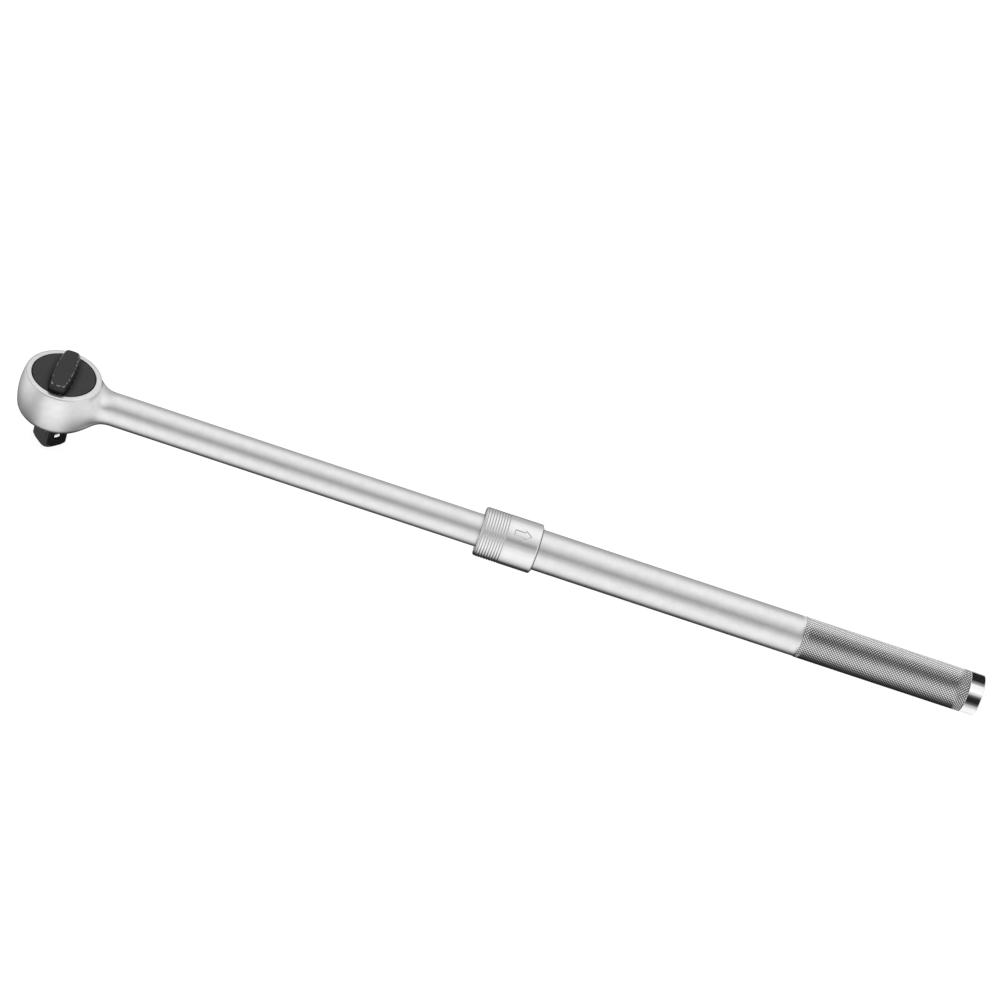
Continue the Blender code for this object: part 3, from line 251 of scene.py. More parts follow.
def ring(bm, points):
    return [bm.verts.new(point) for point in points]


def bridge(bm, near, far):
    """Faces between two closed rings of as many points."""
    count = len(near)
    for index in range(count):
        after = (index + 1) % count
        bm.faces.new((near[index], near[after], far[after], far[index]))


def bridge_all(bm, rings):
    for near, far in zip(rings, rings[1:]):
        bridge(bm, near, far)


def to_object(bm, name, sharp=30.0):
    """Close and orient a bmesh, lift it to the handle's height and make it an object."""
    bmesh.ops.remove_doubles(bm, verts=bm.verts, dist=1e-7)
    bmesh.ops.dissolve_degenerate(bm, dist=1e-8, edges=bm.edges)
    bmesh.ops.recalc_face_normals(bm, faces=bm.faces)
    bmesh.ops.translate(bm, verts=bm.verts, vec=(0.0, 0.0, AXIS_HEIGHT))
    mesh = bpy.data.meshes.new(name)
    bm.to_mesh(mesh)
    bm.free()
    mesh.shade_smooth()
    mesh.set_sharp_from_angle(angle=math.radians(sharp))
    obj = bpy.data.objects.new(name, mesh)
    bpy.context.scene.collection.objects.link(obj)
    return obj


def arc_steps(outline, steps):
    """Round the corners of a (radius, place) outline that have a third value, their radius."""
    points = []
    for index, (radius, place, *corner) in enumerate(outline):
        here = Vector((radius, place))
        if not corner:
            points.append(here)
            continue
        back = (Vector(outline[index - 1][:2]) - here).normalized()
        ahead = (Vector(outline[(index + 1) % len(outline)][:2]) - here).normalized()
        half = back.angle(ahead) / 2
        middle = here + (back + ahead).normalized() * (corner[0] / math.sin(half))
        first = here + back * (corner[0] / math.tan(half)) - middle
        last = here + ahead * (corner[0] / math.tan(half)) - middle
        for step in range(steps + 1):
            way = first.lerp(last, step / steps).normalized()
            points.append(middle + way * corner[0])
    return points


def turned(name, outline, segments, axis="Z", steps=4, sharp=30.0):
    """Spin a (radius, place) outline about Z or X into a closed solid."""
    bm = bmesh.new()
    points = arc_steps(outline, steps)
    angles = [math.tau * step / segments for step in range(segments)]
    rings = []
    for radius, place in points:
        if radius < 1e-9:
            rings.append([bm.verts.new((0.0, 0.0, place))])
        else:
            rings.append(ring(bm, [polar(radius, angle, place) for angle in angles]))
    if len(rings[0]) > 1:
        rings.append(rings[0])
    for near, far in zip(rings, rings[1:]):
        if len(near) == 1 or len(far) == 1:
            hub, rim = (near[0], far) if len(near) == 1 else (far[0], near)
            for index in range(segments):
                bm.faces.new((hub, rim[index], rim[(index + 1) % segments]))
        else:
            bridge(bm, near, far)
    if axis == "X":
        turn = Matrix.Rotation(math.pi / 2, 4, "Y")
        bmesh.ops.transform(bm, matrix=turn, verts=bm.verts)
    return to_object(bm, name, sharp)


def prism(name, outline, low, high):
    """Raise a flat (x, y) outline between two heights."""
    bm = bmesh.new()
    near = ring(bm, [(x, y, low) for x, y in outline])
    far = ring(bm, [(x, y, high) for x, y in outline])
    bridge(bm, near, far)
    bm.faces.new(near)
    bm.faces.new(far)
    return to_object(bm, name)


def rod(name, start, end, radius, segments=32):
    """A round bar between two points, for cutting bores."""
    start = Vector(start)
    way = Vector(end) - start
    turn = way.to_track_quat("Z", "Y").to_matrix().to_4x4()
    middle = Matrix.Translation(start + way / 2) @ turn
    bm = bmesh.new()
    sizes = {"segments": segments, "radius1": radius, "radius2": radius, "depth": way.length}
    bmesh.ops.create_cone(bm, cap_ends=True, matrix=middle, **sizes)
    return to_object(bm, name)


def ball(name, radius, centre, segments=48):
    bm = bmesh.new()
    sizes = {"u_segments": segments, "v_segments": segments // 2, "radius": radius}
    bmesh.ops.create_uvsphere(bm, matrix=Matrix.Translation(centre), **sizes)
    return to_object(bm, name)


def spun(obj, angle):
    """Turn a shape about the drive's axis."""
    obj.data.transform(Matrix.Rotation(angle, 4, "Z"))
    return obj


def shaped(obj, tools, operation="DIFFERENCE", sharp=30.0):
    """Cut or join shapes into an object and keep only the finished mesh."""
    for tool in tools:
        step = obj.modifiers.new(tool.name, "BOOLEAN")
        step.operation = operation
        step.solver = "EXACT"
        step.object = tool
    view = bpy.context.evaluated_depsgraph_get()
    mesh = bpy.data.meshes.new_from_object(obj.evaluated_get(view))
    obj.modifiers.clear()
    obj.data = mesh
    mesh.shade_smooth()
    mesh.set_sharp_from_angle(angle=math.radians(sharp))
    for tool in tools:
        bpy.data.objects.remove(tool)
    return obj


# Head and shank


def head_radius(height):
    """Radius of the head's side: a crowned wall running into a cone underneath."""
    side = HEAD_RADIUS - HEAD_CROWN * (height - HEAD_WIDEST) ** 2
    shoulder = HEAD_RADIUS - HEAD_CROWN * (HEAD_SHOULDER - HEAD_WIDEST) ** 2
    share = (height - HEAD_BOTTOM) / (HEAD_SHOULDER - HEAD_BOTTOM)
    cone = HEAD_BOTTOM_RADIUS + share * (shoulder - HEAD_BOTTOM_RADIUS)
    meet = max(SHOULDER_EASE - abs(side - cone), 0.0) / SHOULDER_EASE
    return min(side, cone) - meet * meet * SHOULDER_EASE / 4


def head_reach(theta, phi):
    """Distance from the head's centre to its side, along a way off the X axis."""
    flat = math.hypot(math.cos(theta), math.sin(theta) * math.cos(phi))
    climb = math.sin(theta) * math.sin(phi)
    low, high = 0.0, 2 * HEAD_RADIUS
    for _ in range(26):
        reach = (low + high) / 2
        height = min(max(reach * climb, HEAD_BOTTOM), HEAD_TOP)
        inside = height == reach * climb and reach * flat < head_radius(height)
        low, high = (reach, high) if inside else (low, reach)
    return low


def blend_angle(phi):
    """How far round the head the neck's blend reaches, at an angle about the shank."""
    limit = BLEND_TOP if math.sin(phi) > 0.0 else BLEND_BOTTOM
    low, high = math.radians(15), math.radians(89)
    for _ in range(22):
        theta = (low + high) / 2
        height = head_reach(theta, phi) * math.sin(theta) * math.sin(phi)
        fits = abs(height) < abs(limit)
        low, high = (theta, high) if fits else (low, theta)
    power = 7
    return (BLEND_WIDEST**-power + low**-power) ** (-1 / power)


def around_shank(flat_x, radius, phi):
    return Vector((flat_x, radius * math.cos(phi), radius * math.sin(phi)))


def head_point(theta, phi):
    reach = head_reach(theta, phi)
    return around_shank(reach * math.cos(theta), reach * math.sin(theta), phi)


def neck_curve(phi, theta):
    """Bezier points from the shank to the blend's foot on the head, as (x, radius)."""
    step = 0.01
    ends = []
    for angle in (theta, theta - step):
        reach = head_reach(angle, phi)
        ends.append(Vector((reach * math.cos(angle), reach * math.sin(angle))))
    foot, before = ends
    start = Vector((SHANK_START, SHANK_RADIUS))
    pull = BLEND_PULL * (start - foot).length
    lead = (foot - before).normalized()
    return (start, start - Vector((pull, 0.0)), foot - lead * pull, foot)


def neck_point(curve, share, phi):
    rest = 1.0 - share
    weights = (rest**3, 3 * rest * rest * share, 3 * rest * share * share, share**3)
    flat = sum((weight * point for weight, point in zip(weights, curve)), Vector((0.0, 0.0)))
    return around_shank(flat.x, flat.y, phi)


def tooth_radius(azimuth):
    """Radius of the head's ratchet teeth, with a tip at the mechanism's angle."""
    pitch = math.tau / TOOTH_COUNT
    share = abs(((azimuth - MECHANISM_ANGLE) / pitch) % 1.0 - 0.5) * 2
    return CORE_BORE_RADIUS + TOOTH_DEPTH * (1.0 - share)


def rim_rows():
    """From the dial bore's mouth over the rounded rim to the head's side."""
    side_top = HEAD_TOP - RIM_ROUND
    side = head_radius(side_top)
    slope = 2 * HEAD_CROWN * (side_top - HEAD_WIDEST)
    corner = Vector((side - slope * RIM_ROUND, HEAD_TOP))
    start = Vector((corner.x - RIM_ROUND, HEAD_TOP))
    end = Vector((side, side_top))
    rows = [
        (DIAL_BORE_RADIUS, HEAD_TOP - MOUTH_EDGE),
        (DIAL_BORE_RADIUS + MOUTH_EDGE, HEAD_TOP),
    ]
    for step in range(RIM_STEPS + 1):
        share = step / RIM_STEPS
        point = start.lerp(corner, share).lerp(corner.lerp(end, share), share)
        rows.append(tuple(point))
    return rows


def side_rows():
    top = HEAD_TOP - RIM_ROUND
    heights = [top + (PATCH_BOTTOM - top) * step / SIDE_ROWS for step in range(1, SIDE_ROWS + 1)]
    return [(head_radius(height), height) for height in heights]


def bottom_rows():
    """Down the cone, round the bottom's edge and up through the bores."""
    rows = []
    steps = 3
    edge = HEAD_BOTTOM + BOTTOM_ROUND
    for step in range(1, steps + 1):
        height = PATCH_BOTTOM + (edge - PATCH_BOTTOM) * step / steps
        rows.append((head_radius(height), height))
    foot = head_radius(edge)
    rows.append((foot - 0.8 * BOTTOM_ROUND, HEAD_BOTTOM + 0.3 * BOTTOM_ROUND))
    rows.append((foot - 1.8 * BOTTOM_ROUND, HEAD_BOTTOM))
    rows += [
        (RING_POCKET_RADIUS + MOUTH_EDGE, HEAD_BOTTOM),
        (RING_POCKET_RADIUS, HEAD_BOTTOM + MOUTH_EDGE),
        (RING_POCKET_RADIUS, RING_POCKET_TOP),
        (NECK_BORE_RADIUS, RING_POCKET_TOP),
        (NECK_BORE_RADIUS, CORE_BORE_FLOOR),
        (CORE_BORE_RADIUS, CORE_BORE_FLOOR),
        (CORE_BORE_RADIUS, TEETH_BOTTOM),
        (tooth_radius, TEETH_BOTTOM),
        (tooth_radius, DIAL_BORE_FLOOR),
        (DIAL_BORE_RADIUS, DIAL_BORE_FLOOR),
    ]
    return rows


def patch_loop(grid, top_row, bottom_row):
    """The grid's points round the hole left for the neck, in order about the shank."""
    top = [grid[top_row][column] for column in range(PATCH_HALF, -PATCH_HALF, -1)]
    left = [grid[row][-PATCH_HALF] for row in range(top_row, bottom_row)]
    bottom = [grid[bottom_row][column] for column in range(-PATCH_HALF, PATCH_HALF)]
    right = [grid[row][PATCH_HALF] for row in range(bottom_row, top_row, -1)]
    return top + left + bottom + right


def neck_and_shank(bm, loop):
    """The neck's blend, the shank, its stub and the stub's screw bore."""
    phis = [math.atan2(vert.co.z, vert.co.y) for vert in loop]
    starts = [math.acos(vert.co.x / vert.co.length) for vert in loop]
    feet = [blend_angle(phi) for phi in phis]
    curves = [neck_curve(phi, foot) for phi, foot in zip(phis, feet)]
    sections = []
    for row in range(1, PATCH_ROWS):
        share = row / PATCH_ROWS
        angles = [start + (foot - start) * share for start, foot in zip(starts, feet)]
        sections.append([head_point(angle, phi) for angle, phi in zip(angles, phis)])
    for row in range(NECK_ROWS, -1, -1):
        share = row / NECK_ROWS
        sections.append([neck_point(curve, share, phi) for curve, phi in zip(curves, phis)])
    for radius, x in (
        (SHANK_RADIUS, SHANK_END - SHANK_EDGE),
        (SHANK_RADIUS - SHANK_EDGE, SHANK_END),
        (STUB_RADIUS, SHANK_END),
        (STUB_RADIUS, STUB_END - GAP),
        (STUB_RADIUS - GAP, STUB_END),
        (SCREW_BORE_RADIUS, STUB_END),
        (SCREW_BORE_RADIUS, SCREW_BORE_START),
    ):
        sections.append([around_shank(x, radius, phi) for phi in phis])
    rings = [loop] + [ring(bm, section) for section in sections]
    bridge_all(bm, rings)
    bm.faces.new(rings[-1])


def keyway_tools():
    """The straight keyway under the shank and the round pockets in its floor."""
    first = BALL_X - LOCK_PITCH * (LOCK_POSITIONS - 1)
    turns = [math.pi * step / 16 for step in range(17)]
    half = KEYWAY_HALF_WIDTH
    outline = [(BALL_X + GAP + half * math.sin(t), -half * math.cos(t)) for t in turns]
    outline += [(first - GAP - half * math.sin(t), half * math.cos(t)) for t in turns]
    tools = [prism("keyway", outline, -SHANK_RADIUS - OVERCUT, -KEYWAY_FLOOR)]
    for index in range(LOCK_POSITIONS):
        centre = (BALL_X - LOCK_PITCH * index, 0.0, -POCKET_FLOOR - POCKET_RADIUS)
        tools.append(ball(f"lock_pocket_{index}", POCKET_RADIUS, centre, 32))
    return tools


def forged_head():
    """Head, neck and shank as one smooth forging."""
    bm = bmesh.new()
    rim, side, bottom = rim_rows(), side_rows(), bottom_rows()
    rows = rim + side + bottom
    top_row = len(rim) - 1
    bottom_row = top_row + len(side)
    grid = []
    for index, (radius, height) in enumerate(rows):
        verts = {}
        for column in range(-HEAD_COLUMNS // 2, HEAD_COLUMNS // 2):
            if top_row < index < bottom_row and abs(column) < PATCH_HALF:
                continue
            azimuth = math.tau * column / HEAD_COLUMNS
            reach = radius(azimuth) if callable(radius) else radius
            verts[column] = bm.verts.new(polar(reach, azimuth, height))
        grid.append(verts)
    for index, near in enumerate(grid):
        far = grid[(index + 1) % len(grid)]
        in_patch = top_row <= index < bottom_row
        for column in range(-HEAD_COLUMNS // 2, HEAD_COLUMNS // 2):
            if in_patch and -PATCH_HALF <= column < PATCH_HALF:
                continue
            after = column + 1
            if after == HEAD_COLUMNS // 2:
                after = -after
            bm.faces.new((near[column], near[after], far[after], far[column]))
    neck_and_shank(bm, patch_loop(grid, top_row, bottom_row))
    obj = to_object(bm, "forged_head_and_shank")
    return shaped(obj, keyway_tools())


# Drive core


def square_ring(bm, side, corner, height):
    """A rounded square with its corners on X and Y."""
    half = side / 2 - corner
    steps = 8
    points = []
    for quarter in range(4):
        centre = polar(half * math.sqrt(2), math.pi / 2 * (quarter + 1), height)
        for step in range(steps + 1):
            turn = math.pi / 2 * (quarter + step / steps) + math.pi / 4
            points.append(centre + polar(corner, turn, 0.0))
    return ring(bm, points)


def square_shape():
    """The drive square, its top sunk into the neck."""
    bm = bmesh.new()
    low = square_ring(bm, SQUARE_SIDE, SQUARE_CORNER, -AXIS_HEIGHT)
    high = square_ring(bm, SQUARE_SIDE, SQUARE_CORNER, CORE_NECK_BOTTOM + OVERCUT)
    bridge(bm, low, high)
    bm.faces.new(low)
    bm.faces.new(high)
    return to_object(bm, "drive_square")


def turned_end():
    """Ring cutter that turns the square's corners down to a cone at its end."""
    ease = SQUARE_TURNED_EASE
    drop = SQUARE_TURNED_RADIUS - OVERCUT
    reach = SQUARE_SIDE / math.sqrt(2) + OVERCUT
    high = (reach - SQUARE_TURNED_RADIUS) * SQUARE_TURNED_SLOPE - AXIS_HEIGHT
    outline = [
        (drop, -AXIS_HEIGHT - OVERCUT),
        (SQUARE_TURNED_RADIUS - ease, -AXIS_HEIGHT),
        (SQUARE_TURNED_RADIUS + ease, ease * SQUARE_TURNED_SLOPE - AXIS_HEIGHT),
        (reach, high),
        (reach, -AXIS_HEIGHT - OVERCUT),
    ]
    return turned("turned_end", outline, 160)


def pocket_shapes():
    """The pawl's pocket, the plunger's window and the bores of the core."""
    lean = MECHANISM_ANGLE - math.pi / 2
    mouth = DRUM_RADIUS + 2 * OVERCUT
    top = DRUM_TOP + OVERCUT
    half = [(POCKET_MOUTH_HALF, mouth), (POCKET_MOUTH_HALF, POCKET_SIDE_REACH)]
    half.append((POCKET_BACK_HALF, POCKET_BACK_REACH))
    outline = [(-x, y) for x, y in half] + half[::-1]
    side = WINDOW_HALF_WIDTH
    window = [(-side, 0.0), (side, 0.0), (side, WINDOW_REACH), (-side, WINDOW_REACH)]
    pin_start = (-DRUM_RADIUS - OVERCUT, -DIAL_PIN_OFFSET, DIAL_PIN_HEIGHT)
    pin_end = (DIAL_PIN_END, -DIAL_PIN_OFFSET, DIAL_PIN_HEIGHT)
    hinge_low = (0, PAWL_PIN_REACH, PAWL_PIN_LOW)
    hinge_high = (0, PAWL_PIN_REACH, top)
    detent = rod(
        "detent_bore",
        (DETENT_BORE_START, 0, DETENT_HEIGHT),
        (DETENT_BORE_END, 0, DETENT_HEIGHT),
        DETENT_BORE_RADIUS,
        48,
    )
    return [
        spun(prism("pawl_pocket", outline, -POCKET_HALF_HEIGHT, POCKET_HALF_HEIGHT), lean),
        rod("stem_bore", (0, 0, STEM_BORE_FLOOR), (0, 0, top), STEM_BORE_RADIUS, 64),
        spun(prism("plunger_window", window, -WINDOW_HALF_HEIGHT, WINDOW_HALF_HEIGHT), lean),
        spun(rod("pawl_pin_bore", hinge_low, hinge_high, PAWL_PIN_BORE_RADIUS), lean),
        spun(rod("dial_pin_bore", pin_start, pin_end, DIAL_PIN_BORE_RADIUS), lean),
        spun(detent, DETENT_ANGLE),
    ]


def drive_core():
    outline = [
        (0.0, DRUM_TOP),
        (DRUM_RADIUS, DRUM_TOP, DRUM_EDGE),
        (DRUM_RADIUS, DRUM_BOTTOM),
        (CORE_NECK_RADIUS, DRUM_BOTTOM),
        (CORE_NECK_RADIUS, SEAL_GROOVE_HEIGHT + SEAL_GROOVE_HALF),
        (SEAL_GROOVE_RADIUS, SEAL_GROOVE_HEIGHT + SEAL_GROOVE_HALF),
        (SEAL_GROOVE_RADIUS, SEAL_GROOVE_HEIGHT - SEAL_GROOVE_HALF),
        (CORE_NECK_RADIUS, SEAL_GROOVE_HEIGHT - SEAL_GROOVE_HALF),
        (CORE_NECK_RADIUS, SNAP_GROOVE_TOP),
        (SNAP_GROOVE_RADIUS, SNAP_GROOVE_TOP),
        (SNAP_GROOVE_RADIUS, SNAP_GROOVE_BOTTOM),
        (CORE_NECK_RADIUS, SNAP_GROOVE_BOTTOM),
        (CORE_NECK_RADIUS, CORE_NECK_BOTTOM, CORE_NECK_EDGE),
        (0.0, CORE_NECK_BOTTOM),
    ]
    obj = turned("drive_core_and_square", outline, 120)
    obj = shaped(obj, [square_shape()], "UNION")
    return shaped(obj, [turned_end()] + pocket_shapes())


# Dial


def lever_quarter(reach, middle_half, end_half, corner):
    """A quarter of the lever's plan, from the middle of its end to the middle of its side."""
    tip = math.asin((end_half - corner) / (reach - corner))
    centre = Vector(((reach - corner) * math.cos(tip), end_half - corner))
    points = [Vector((math.cos(tip * s / 4), math.sin(tip * s / 4))) * reach for s in range(4)]
    steps = 8
    for step in range(steps + 1):
        turn = tip + (math.pi / 2 - tip) * step / steps
        points.append(centre + Vector((math.cos(turn), math.sin(turn))) * corner)
    sides = 8
    for step in range(sides - 1, -1, -1):
        share = step / sides
        bow = end_half + (middle_half - end_half) * (1.0 - share * share)
        points.append(Vector((centre.x * share, bow)))
    return points


def lever_ring(bm, reach, inset, height):
    """One closed level of the lever's outline."""
    middle_half, end_half = LEVER_MIDDLE_HALF - inset, LEVER_END_HALF - inset
    quarter = lever_quarter(reach, middle_half, end_half, LEVER_CORNER - inset / 2)
    upper = quarter + [Vector((-x, y)) for x, y in reversed(quarter[:-1])]
    lower = [Vector((x, -y)) for x, y in reversed(upper[1:-1])]
    return ring(bm, [(x, y, height) for x, y in upper + lower])


def lever_shape():
    """Bar across the disc: bowed sides that lean in, round ends with a sloped facet."""
    bm = bmesh.new()
    facet = DIAL_TOP + LEVER_FACET
    share = LEVER_FACET / (LEVER_TOP - DIAL_TOP)
    soft = LEVER_EDGE / 4
    levels = [
        (LEVER_REACH, 0.0, DIAL_TOP - 0.001),
        (LEVER_REACH, LEVER_INSET * share, facet - soft),
        (LEVER_REACH - soft / 3, LEVER_INSET * share, facet + soft),
    ]
    for step in range(LEVER_EDGE_STEPS + 1):
        turn = math.pi / 2 * step / LEVER_EDGE_STEPS
        back = LEVER_EDGE * (1.0 - math.cos(turn))
        height = LEVER_TOP - LEVER_EDGE * (1.0 - math.sin(turn))
        levels.append((LEVER_FACET_REACH - back, LEVER_INSET + back, height))
    rings = [lever_ring(bm, *level) for level in levels]
    bridge_all(bm, rings)
    bm.faces.new(rings[0])
    bm.faces.new(rings[-1])
    return to_object(bm, "lever")


def mark_wear_and_highlight(obj, low, high):
    """Mark the lighter band on an edge rounded between two heights: worn paint, and also a painted
    highlight.
    """
    worn = obj.data.attributes.new("edge_wear_and_highlight", "FLOAT", "POINT")
    for vert, mark in zip(obj.data.vertices, worn.data):
        share = (vert.co.z - AXIS_HEIGHT - low) / (high - low)
        mark.value = max(math.sin(math.pi * min(max(share, 0.0), 1.0)), 0.0)


def direction_dial():
    seal_low, seal_high = DIAL_SEAL_GROOVE
    pin_low, pin_high = STEM_GROOVE
    outline = [
        (0.0, DIAL_TOP),
        (DIAL_RADIUS, DIAL_TOP, DIAL_EDGE),
        (DIAL_RADIUS, seal_high),
        (DIAL_SEAL_GROOVE_RADIUS, seal_high),
        (DIAL_SEAL_GROOVE_RADIUS, seal_low),
        (DIAL_RADIUS, seal_low),
        (DIAL_RADIUS, DIAL_BOTTOM),
        (STEM_RADIUS, DIAL_BOTTOM),
        (STEM_RADIUS, pin_high),
        (STEM_GROOVE_RADIUS, pin_high),
        (STEM_GROOVE_RADIUS, pin_low),
        (STEM_RADIUS, pin_low),
        (STEM_RADIUS, STEM_BOTTOM, DIAL_EDGE),
        (0.0, STEM_BOTTOM),
    ]
    obj = turned("direction_dial_and_lever", outline, 144)
    obj = shaped(obj, [lever_shape()], "UNION")
    bore = rod("plunger_bore", (PLUNGER_BORE_FLOOR, 0, 0), (0.01, 0, 0), PLUNGER_BORE_RADIUS, 48)
    obj = shaped(obj, [bore])
    # The lever's rounded top edges are marked lighter: worn paint and painted highlight
    mark_wear_and_highlight(obj, LEVER_TOP - LEVER_EDGE, LEVER_TOP)
    return spun(obj, LEVER_ANGLE)


# Grip tube


def tube_rows():
    """(x, radius) down the tube's outside to the knurl, as plain turned rows."""
    groove_start, groove_end = CIRCLIP_GROOVE
    ease = 0.3 * TUBE_MOUTH
    rows = [
        (TUBE_START, TUBE_BORE_RADIUS),
        (TUBE_START, TUBE_RADIUS - TUBE_MOUTH),
        (TUBE_START + ease, TUBE_RADIUS - ease),
        (TUBE_START + TUBE_MOUTH, TUBE_RADIUS),
        (groove_start, TUBE_RADIUS),
        (groove_start, CIRCLIP_GROOVE_RADIUS),
        (groove_end, CIRCLIP_GROOVE_RADIUS),
        (groove_end, TUBE_RADIUS),
    ]
    plain = 24
    for step in range(1, plain + 1):
        rows.append((groove_end + (KNURL_START - groove_end) * step / plain, TUBE_RADIUS))
    return rows


def knurl_rings(bm, angles):
    """Rings over the knurl, every other place a raised point."""
    relief = bm.verts.layers.float.new("relief")
    rows = 2 * round((TUBE_END - KNURL_START) / KNURL_PITCH)
    rings = []
    for row in range(rows + 1):
        x = KNURL_START + (TUBE_END - KNURL_START) * row / rows
        verts = []
        for column, angle in enumerate(angles):
            low = (row + column) % 2
            vert = bm.verts.new(around_shank(x, KNURL_RADIUS - KNURL_DEPTH * low, angle))
            vert[relief] = 1.0 - low
            verts.append(vert)
        rings.append(verts)
    return rings


def fold_diamonds(bm, rings):
    """Faces between the knurl's rings, each square folded along its low corners."""
    for row, (near, far) in enumerate(zip(rings, rings[1:])):
        for column in range(len(near)):
            after = (column + 1) % len(near)
            corners = (near[column], near[after], far[after], far[column])
            start = 1 - (row + column) % 2
            a, b, c, d = corners[start:] + corners[:start]
            bm.faces.new((a, b, c))
            bm.faces.new((a, c, d))


def grip_tube():
    """Tube with a diamond knurl of real points over its rear."""
    bm = bmesh.new()
    columns = 2 * KNURLS_ROUND
    angles = [math.tau * column / columns for column in range(columns)]
    knurl = knurl_rings(bm, angles)
    plain = [
        ring(bm, [around_shank(x, radius, angle) for angle in angles])
        for x, radius in [(TUBE_END, TUBE_BORE_RADIUS)] + tube_rows()
    ]
    fold_diamonds(bm, knurl)
    bridge_all(bm, [knurl[-1]] + plain + [knurl[0]])
    obj = to_object(bm, "knurled_grip_tube", KNURL_SHARP)
    return shaped(obj, tube_holes(), sharp=KNURL_SHARP)


def tube_holes():
    wall = TUBE_BORE_RADIUS / 2, TUBE_RADIUS + OVERCUT
    ball_ends = [(BALL_X, 0, -reach) for reach in wall]
    pin_ends = [(BUSH_PIN_X, 0, reach) for reach in wall]
    ball_hole = rod("ball_hole", *ball_ends, BALL_HOLE_RADIUS, 40)
    return [ball_hole, rod("pin_hole", *pin_ends, BUSH_PIN_HOLE_RADIUS)]


# Collar


def arrow_outline():
    """Arrow towards the grip, as (along, across) points about its own middle line."""
    neck = ARROW_LENGTH - ARROW_HEAD_LENGTH
    half = [(0.0, ARROW_SHAFT_HALF), (neck, ARROW_SHAFT_HALF), (neck, ARROW_HEAD_HALF)]
    mirrored = [(along, -across) for along, across in reversed(half)]
    return half + [(ARROW_LENGTH, 0.0)] + mirrored


def line_distance(point, start, end):
    way = end - start
    share = min(max((point - start).dot(way) / way.length_squared, 0.0), 1.0)
    return (point - start - way * share).length


def arrow_depth(x, across):
    """Depth of the engraved line at a place on the collar."""
    point = Vector((x - ARROW_START, across))
    outline = [Vector(corner) for corner in arrow_outline()]
    nearest = min(
        line_distance(point, start, end)
        for start, end in zip(outline, outline[1:] + outline[:1])
    )
    share = max(1.0 - nearest / ARROW_LINE_HALF, 0.0)
    return ARROW_DEPTH * share * share * (3 - 2 * share)


def collar_angles():
    """Angles round the collar, close together where an arrow is engraved."""
    half = ARROW_REACH
    fine, coarse = 0.5, 3.0
    angles = []
    for index, middle in enumerate(ARROW_ANGLES):
        count = round(2 * half / fine)
        angles += [middle - half + 2 * half * step / count for step in range(count)]
        after = ARROW_ANGLES[(index + 1) % len(ARROW_ANGLES)]
        gap = (after - middle) % 360.0 - 2 * half
        count = round(gap / coarse)
        angles += [middle + half + gap * step / count for step in range(count)]
    return angles


def groove_rows():
    """(x, radius, dip share) over the collar's sharp grip grooves."""
    rows = []
    shape = [(-offset, share) for offset, share in GROOVE_SIDE]
    shape += [(0.0, 1.0), *reversed(GROOVE_SIDE)]
    for index in range(GROOVE_COUNT):
        middle = GROOVE_FIRST + GROOVE_PITCH * index
        for offset, share in shape:
            place_at = middle + GROOVE_HALF_WIDTH * offset
            rows.append((place_at, COLLAR_RADIUS - GROOVE_DEPTH * share, share))
    return rows


def collar_rows():
    """(x, radius, dip share) round the collar's section: outside from the front, then bores."""
    edge, soft = COLLAR_EDGE, COLLAR_SOFT
    rows = [
        (COLLAR_FRONT, COLLAR_FRONT_BORE),
        (COLLAR_FRONT, COLLAR_RADIUS - edge - soft),
        (COLLAR_FRONT + 0.2 * soft, COLLAR_RADIUS - edge),
        (COLLAR_FRONT + COLLAR_FRONT_BEVEL, COLLAR_RADIUS - 0.2 * soft),
        (COLLAR_FRONT + COLLAR_FRONT_BEVEL + soft, COLLAR_RADIUS),
    ]
    rows += groove_rows()
    margin = 3 * ARROW_LINE_HALF
    start, end = ARROW_START - margin, ARROW_START + ARROW_LENGTH + margin
    steps = round((end - start) / (ARROW_LINE_HALF / 2))
    rows += [(start + (end - start) * step / steps, COLLAR_RADIUS) for step in range(steps + 1)]
    rows += [
        (COLLAR_REAR - edge - soft, COLLAR_RADIUS),
        (COLLAR_REAR - edge, COLLAR_RADIUS - 0.2 * soft),
        (COLLAR_REAR - 0.2 * soft, COLLAR_RADIUS - edge),
        (COLLAR_REAR, COLLAR_RADIUS - edge - soft),
        (COLLAR_REAR, COLLAR_REAR_BORE),
        (COLLAR_SHOULDER, COLLAR_REAR_BORE),
        (COLLAR_SHOULDER, COLLAR_LAND_RADIUS),
        (COLLAR_RAMP_END, COLLAR_LAND_RADIUS),
        (COLLAR_RECESS[1], COLLAR_RECESS_RADIUS),
        (COLLAR_RECESS[0], COLLAR_RECESS_RADIUS),
        (COLLAR_RECESS[0], COLLAR_LAND_RADIUS),
        (COLLAR_STOP_START, COLLAR_LAND_RADIUS),
        (COLLAR_STOP_START, COLLAR_FRONT_BORE),
    ]
    return [row if len(row) == 3 else (*row, 0.0) for row in rows]


def lock_collar():
    """Grooved collar with an arrow engraved three times round it."""
    bm = bmesh.new()
    cut_shade = bm.verts.layers.float.new("cut_shade")
    angles = collar_angles()
    nearest = [
        min(((angle - middle + 180.0) % 360.0 - 180.0 for middle in ARROW_ANGLES), key=abs)
        for angle in angles
    ]
    margin = 2 * ARROW_LINE_HALF
    rings = []
    for x, radius, dip in collar_rows():
        along = -margin < x - ARROW_START < ARROW_LENGTH + margin
        verts = []
        for angle, offset in zip(angles, nearest):
            depth = 0.0
            if along and radius == COLLAR_RADIUS and abs(offset) < ARROW_REACH:
                depth = arrow_depth(x, math.radians(offset) * COLLAR_RADIUS)
            turn = math.pi / 2 + math.radians(angle)
            vert = bm.verts.new(around_shank(x, radius - depth, turn))
            # Share of painted shade, from the groove's dip and the arrow line's depth
            vert[cut_shade] = max(dip, ARROW_DARKNESS * depth / ARROW_DEPTH)
            verts.append(vert)
        rings.append(verts)
    bridge_all(bm, rings + rings[:1])
    return to_object(bm, "grooved_lock_collar", COLLAR_SHARP)


# End cap and small turned pieces


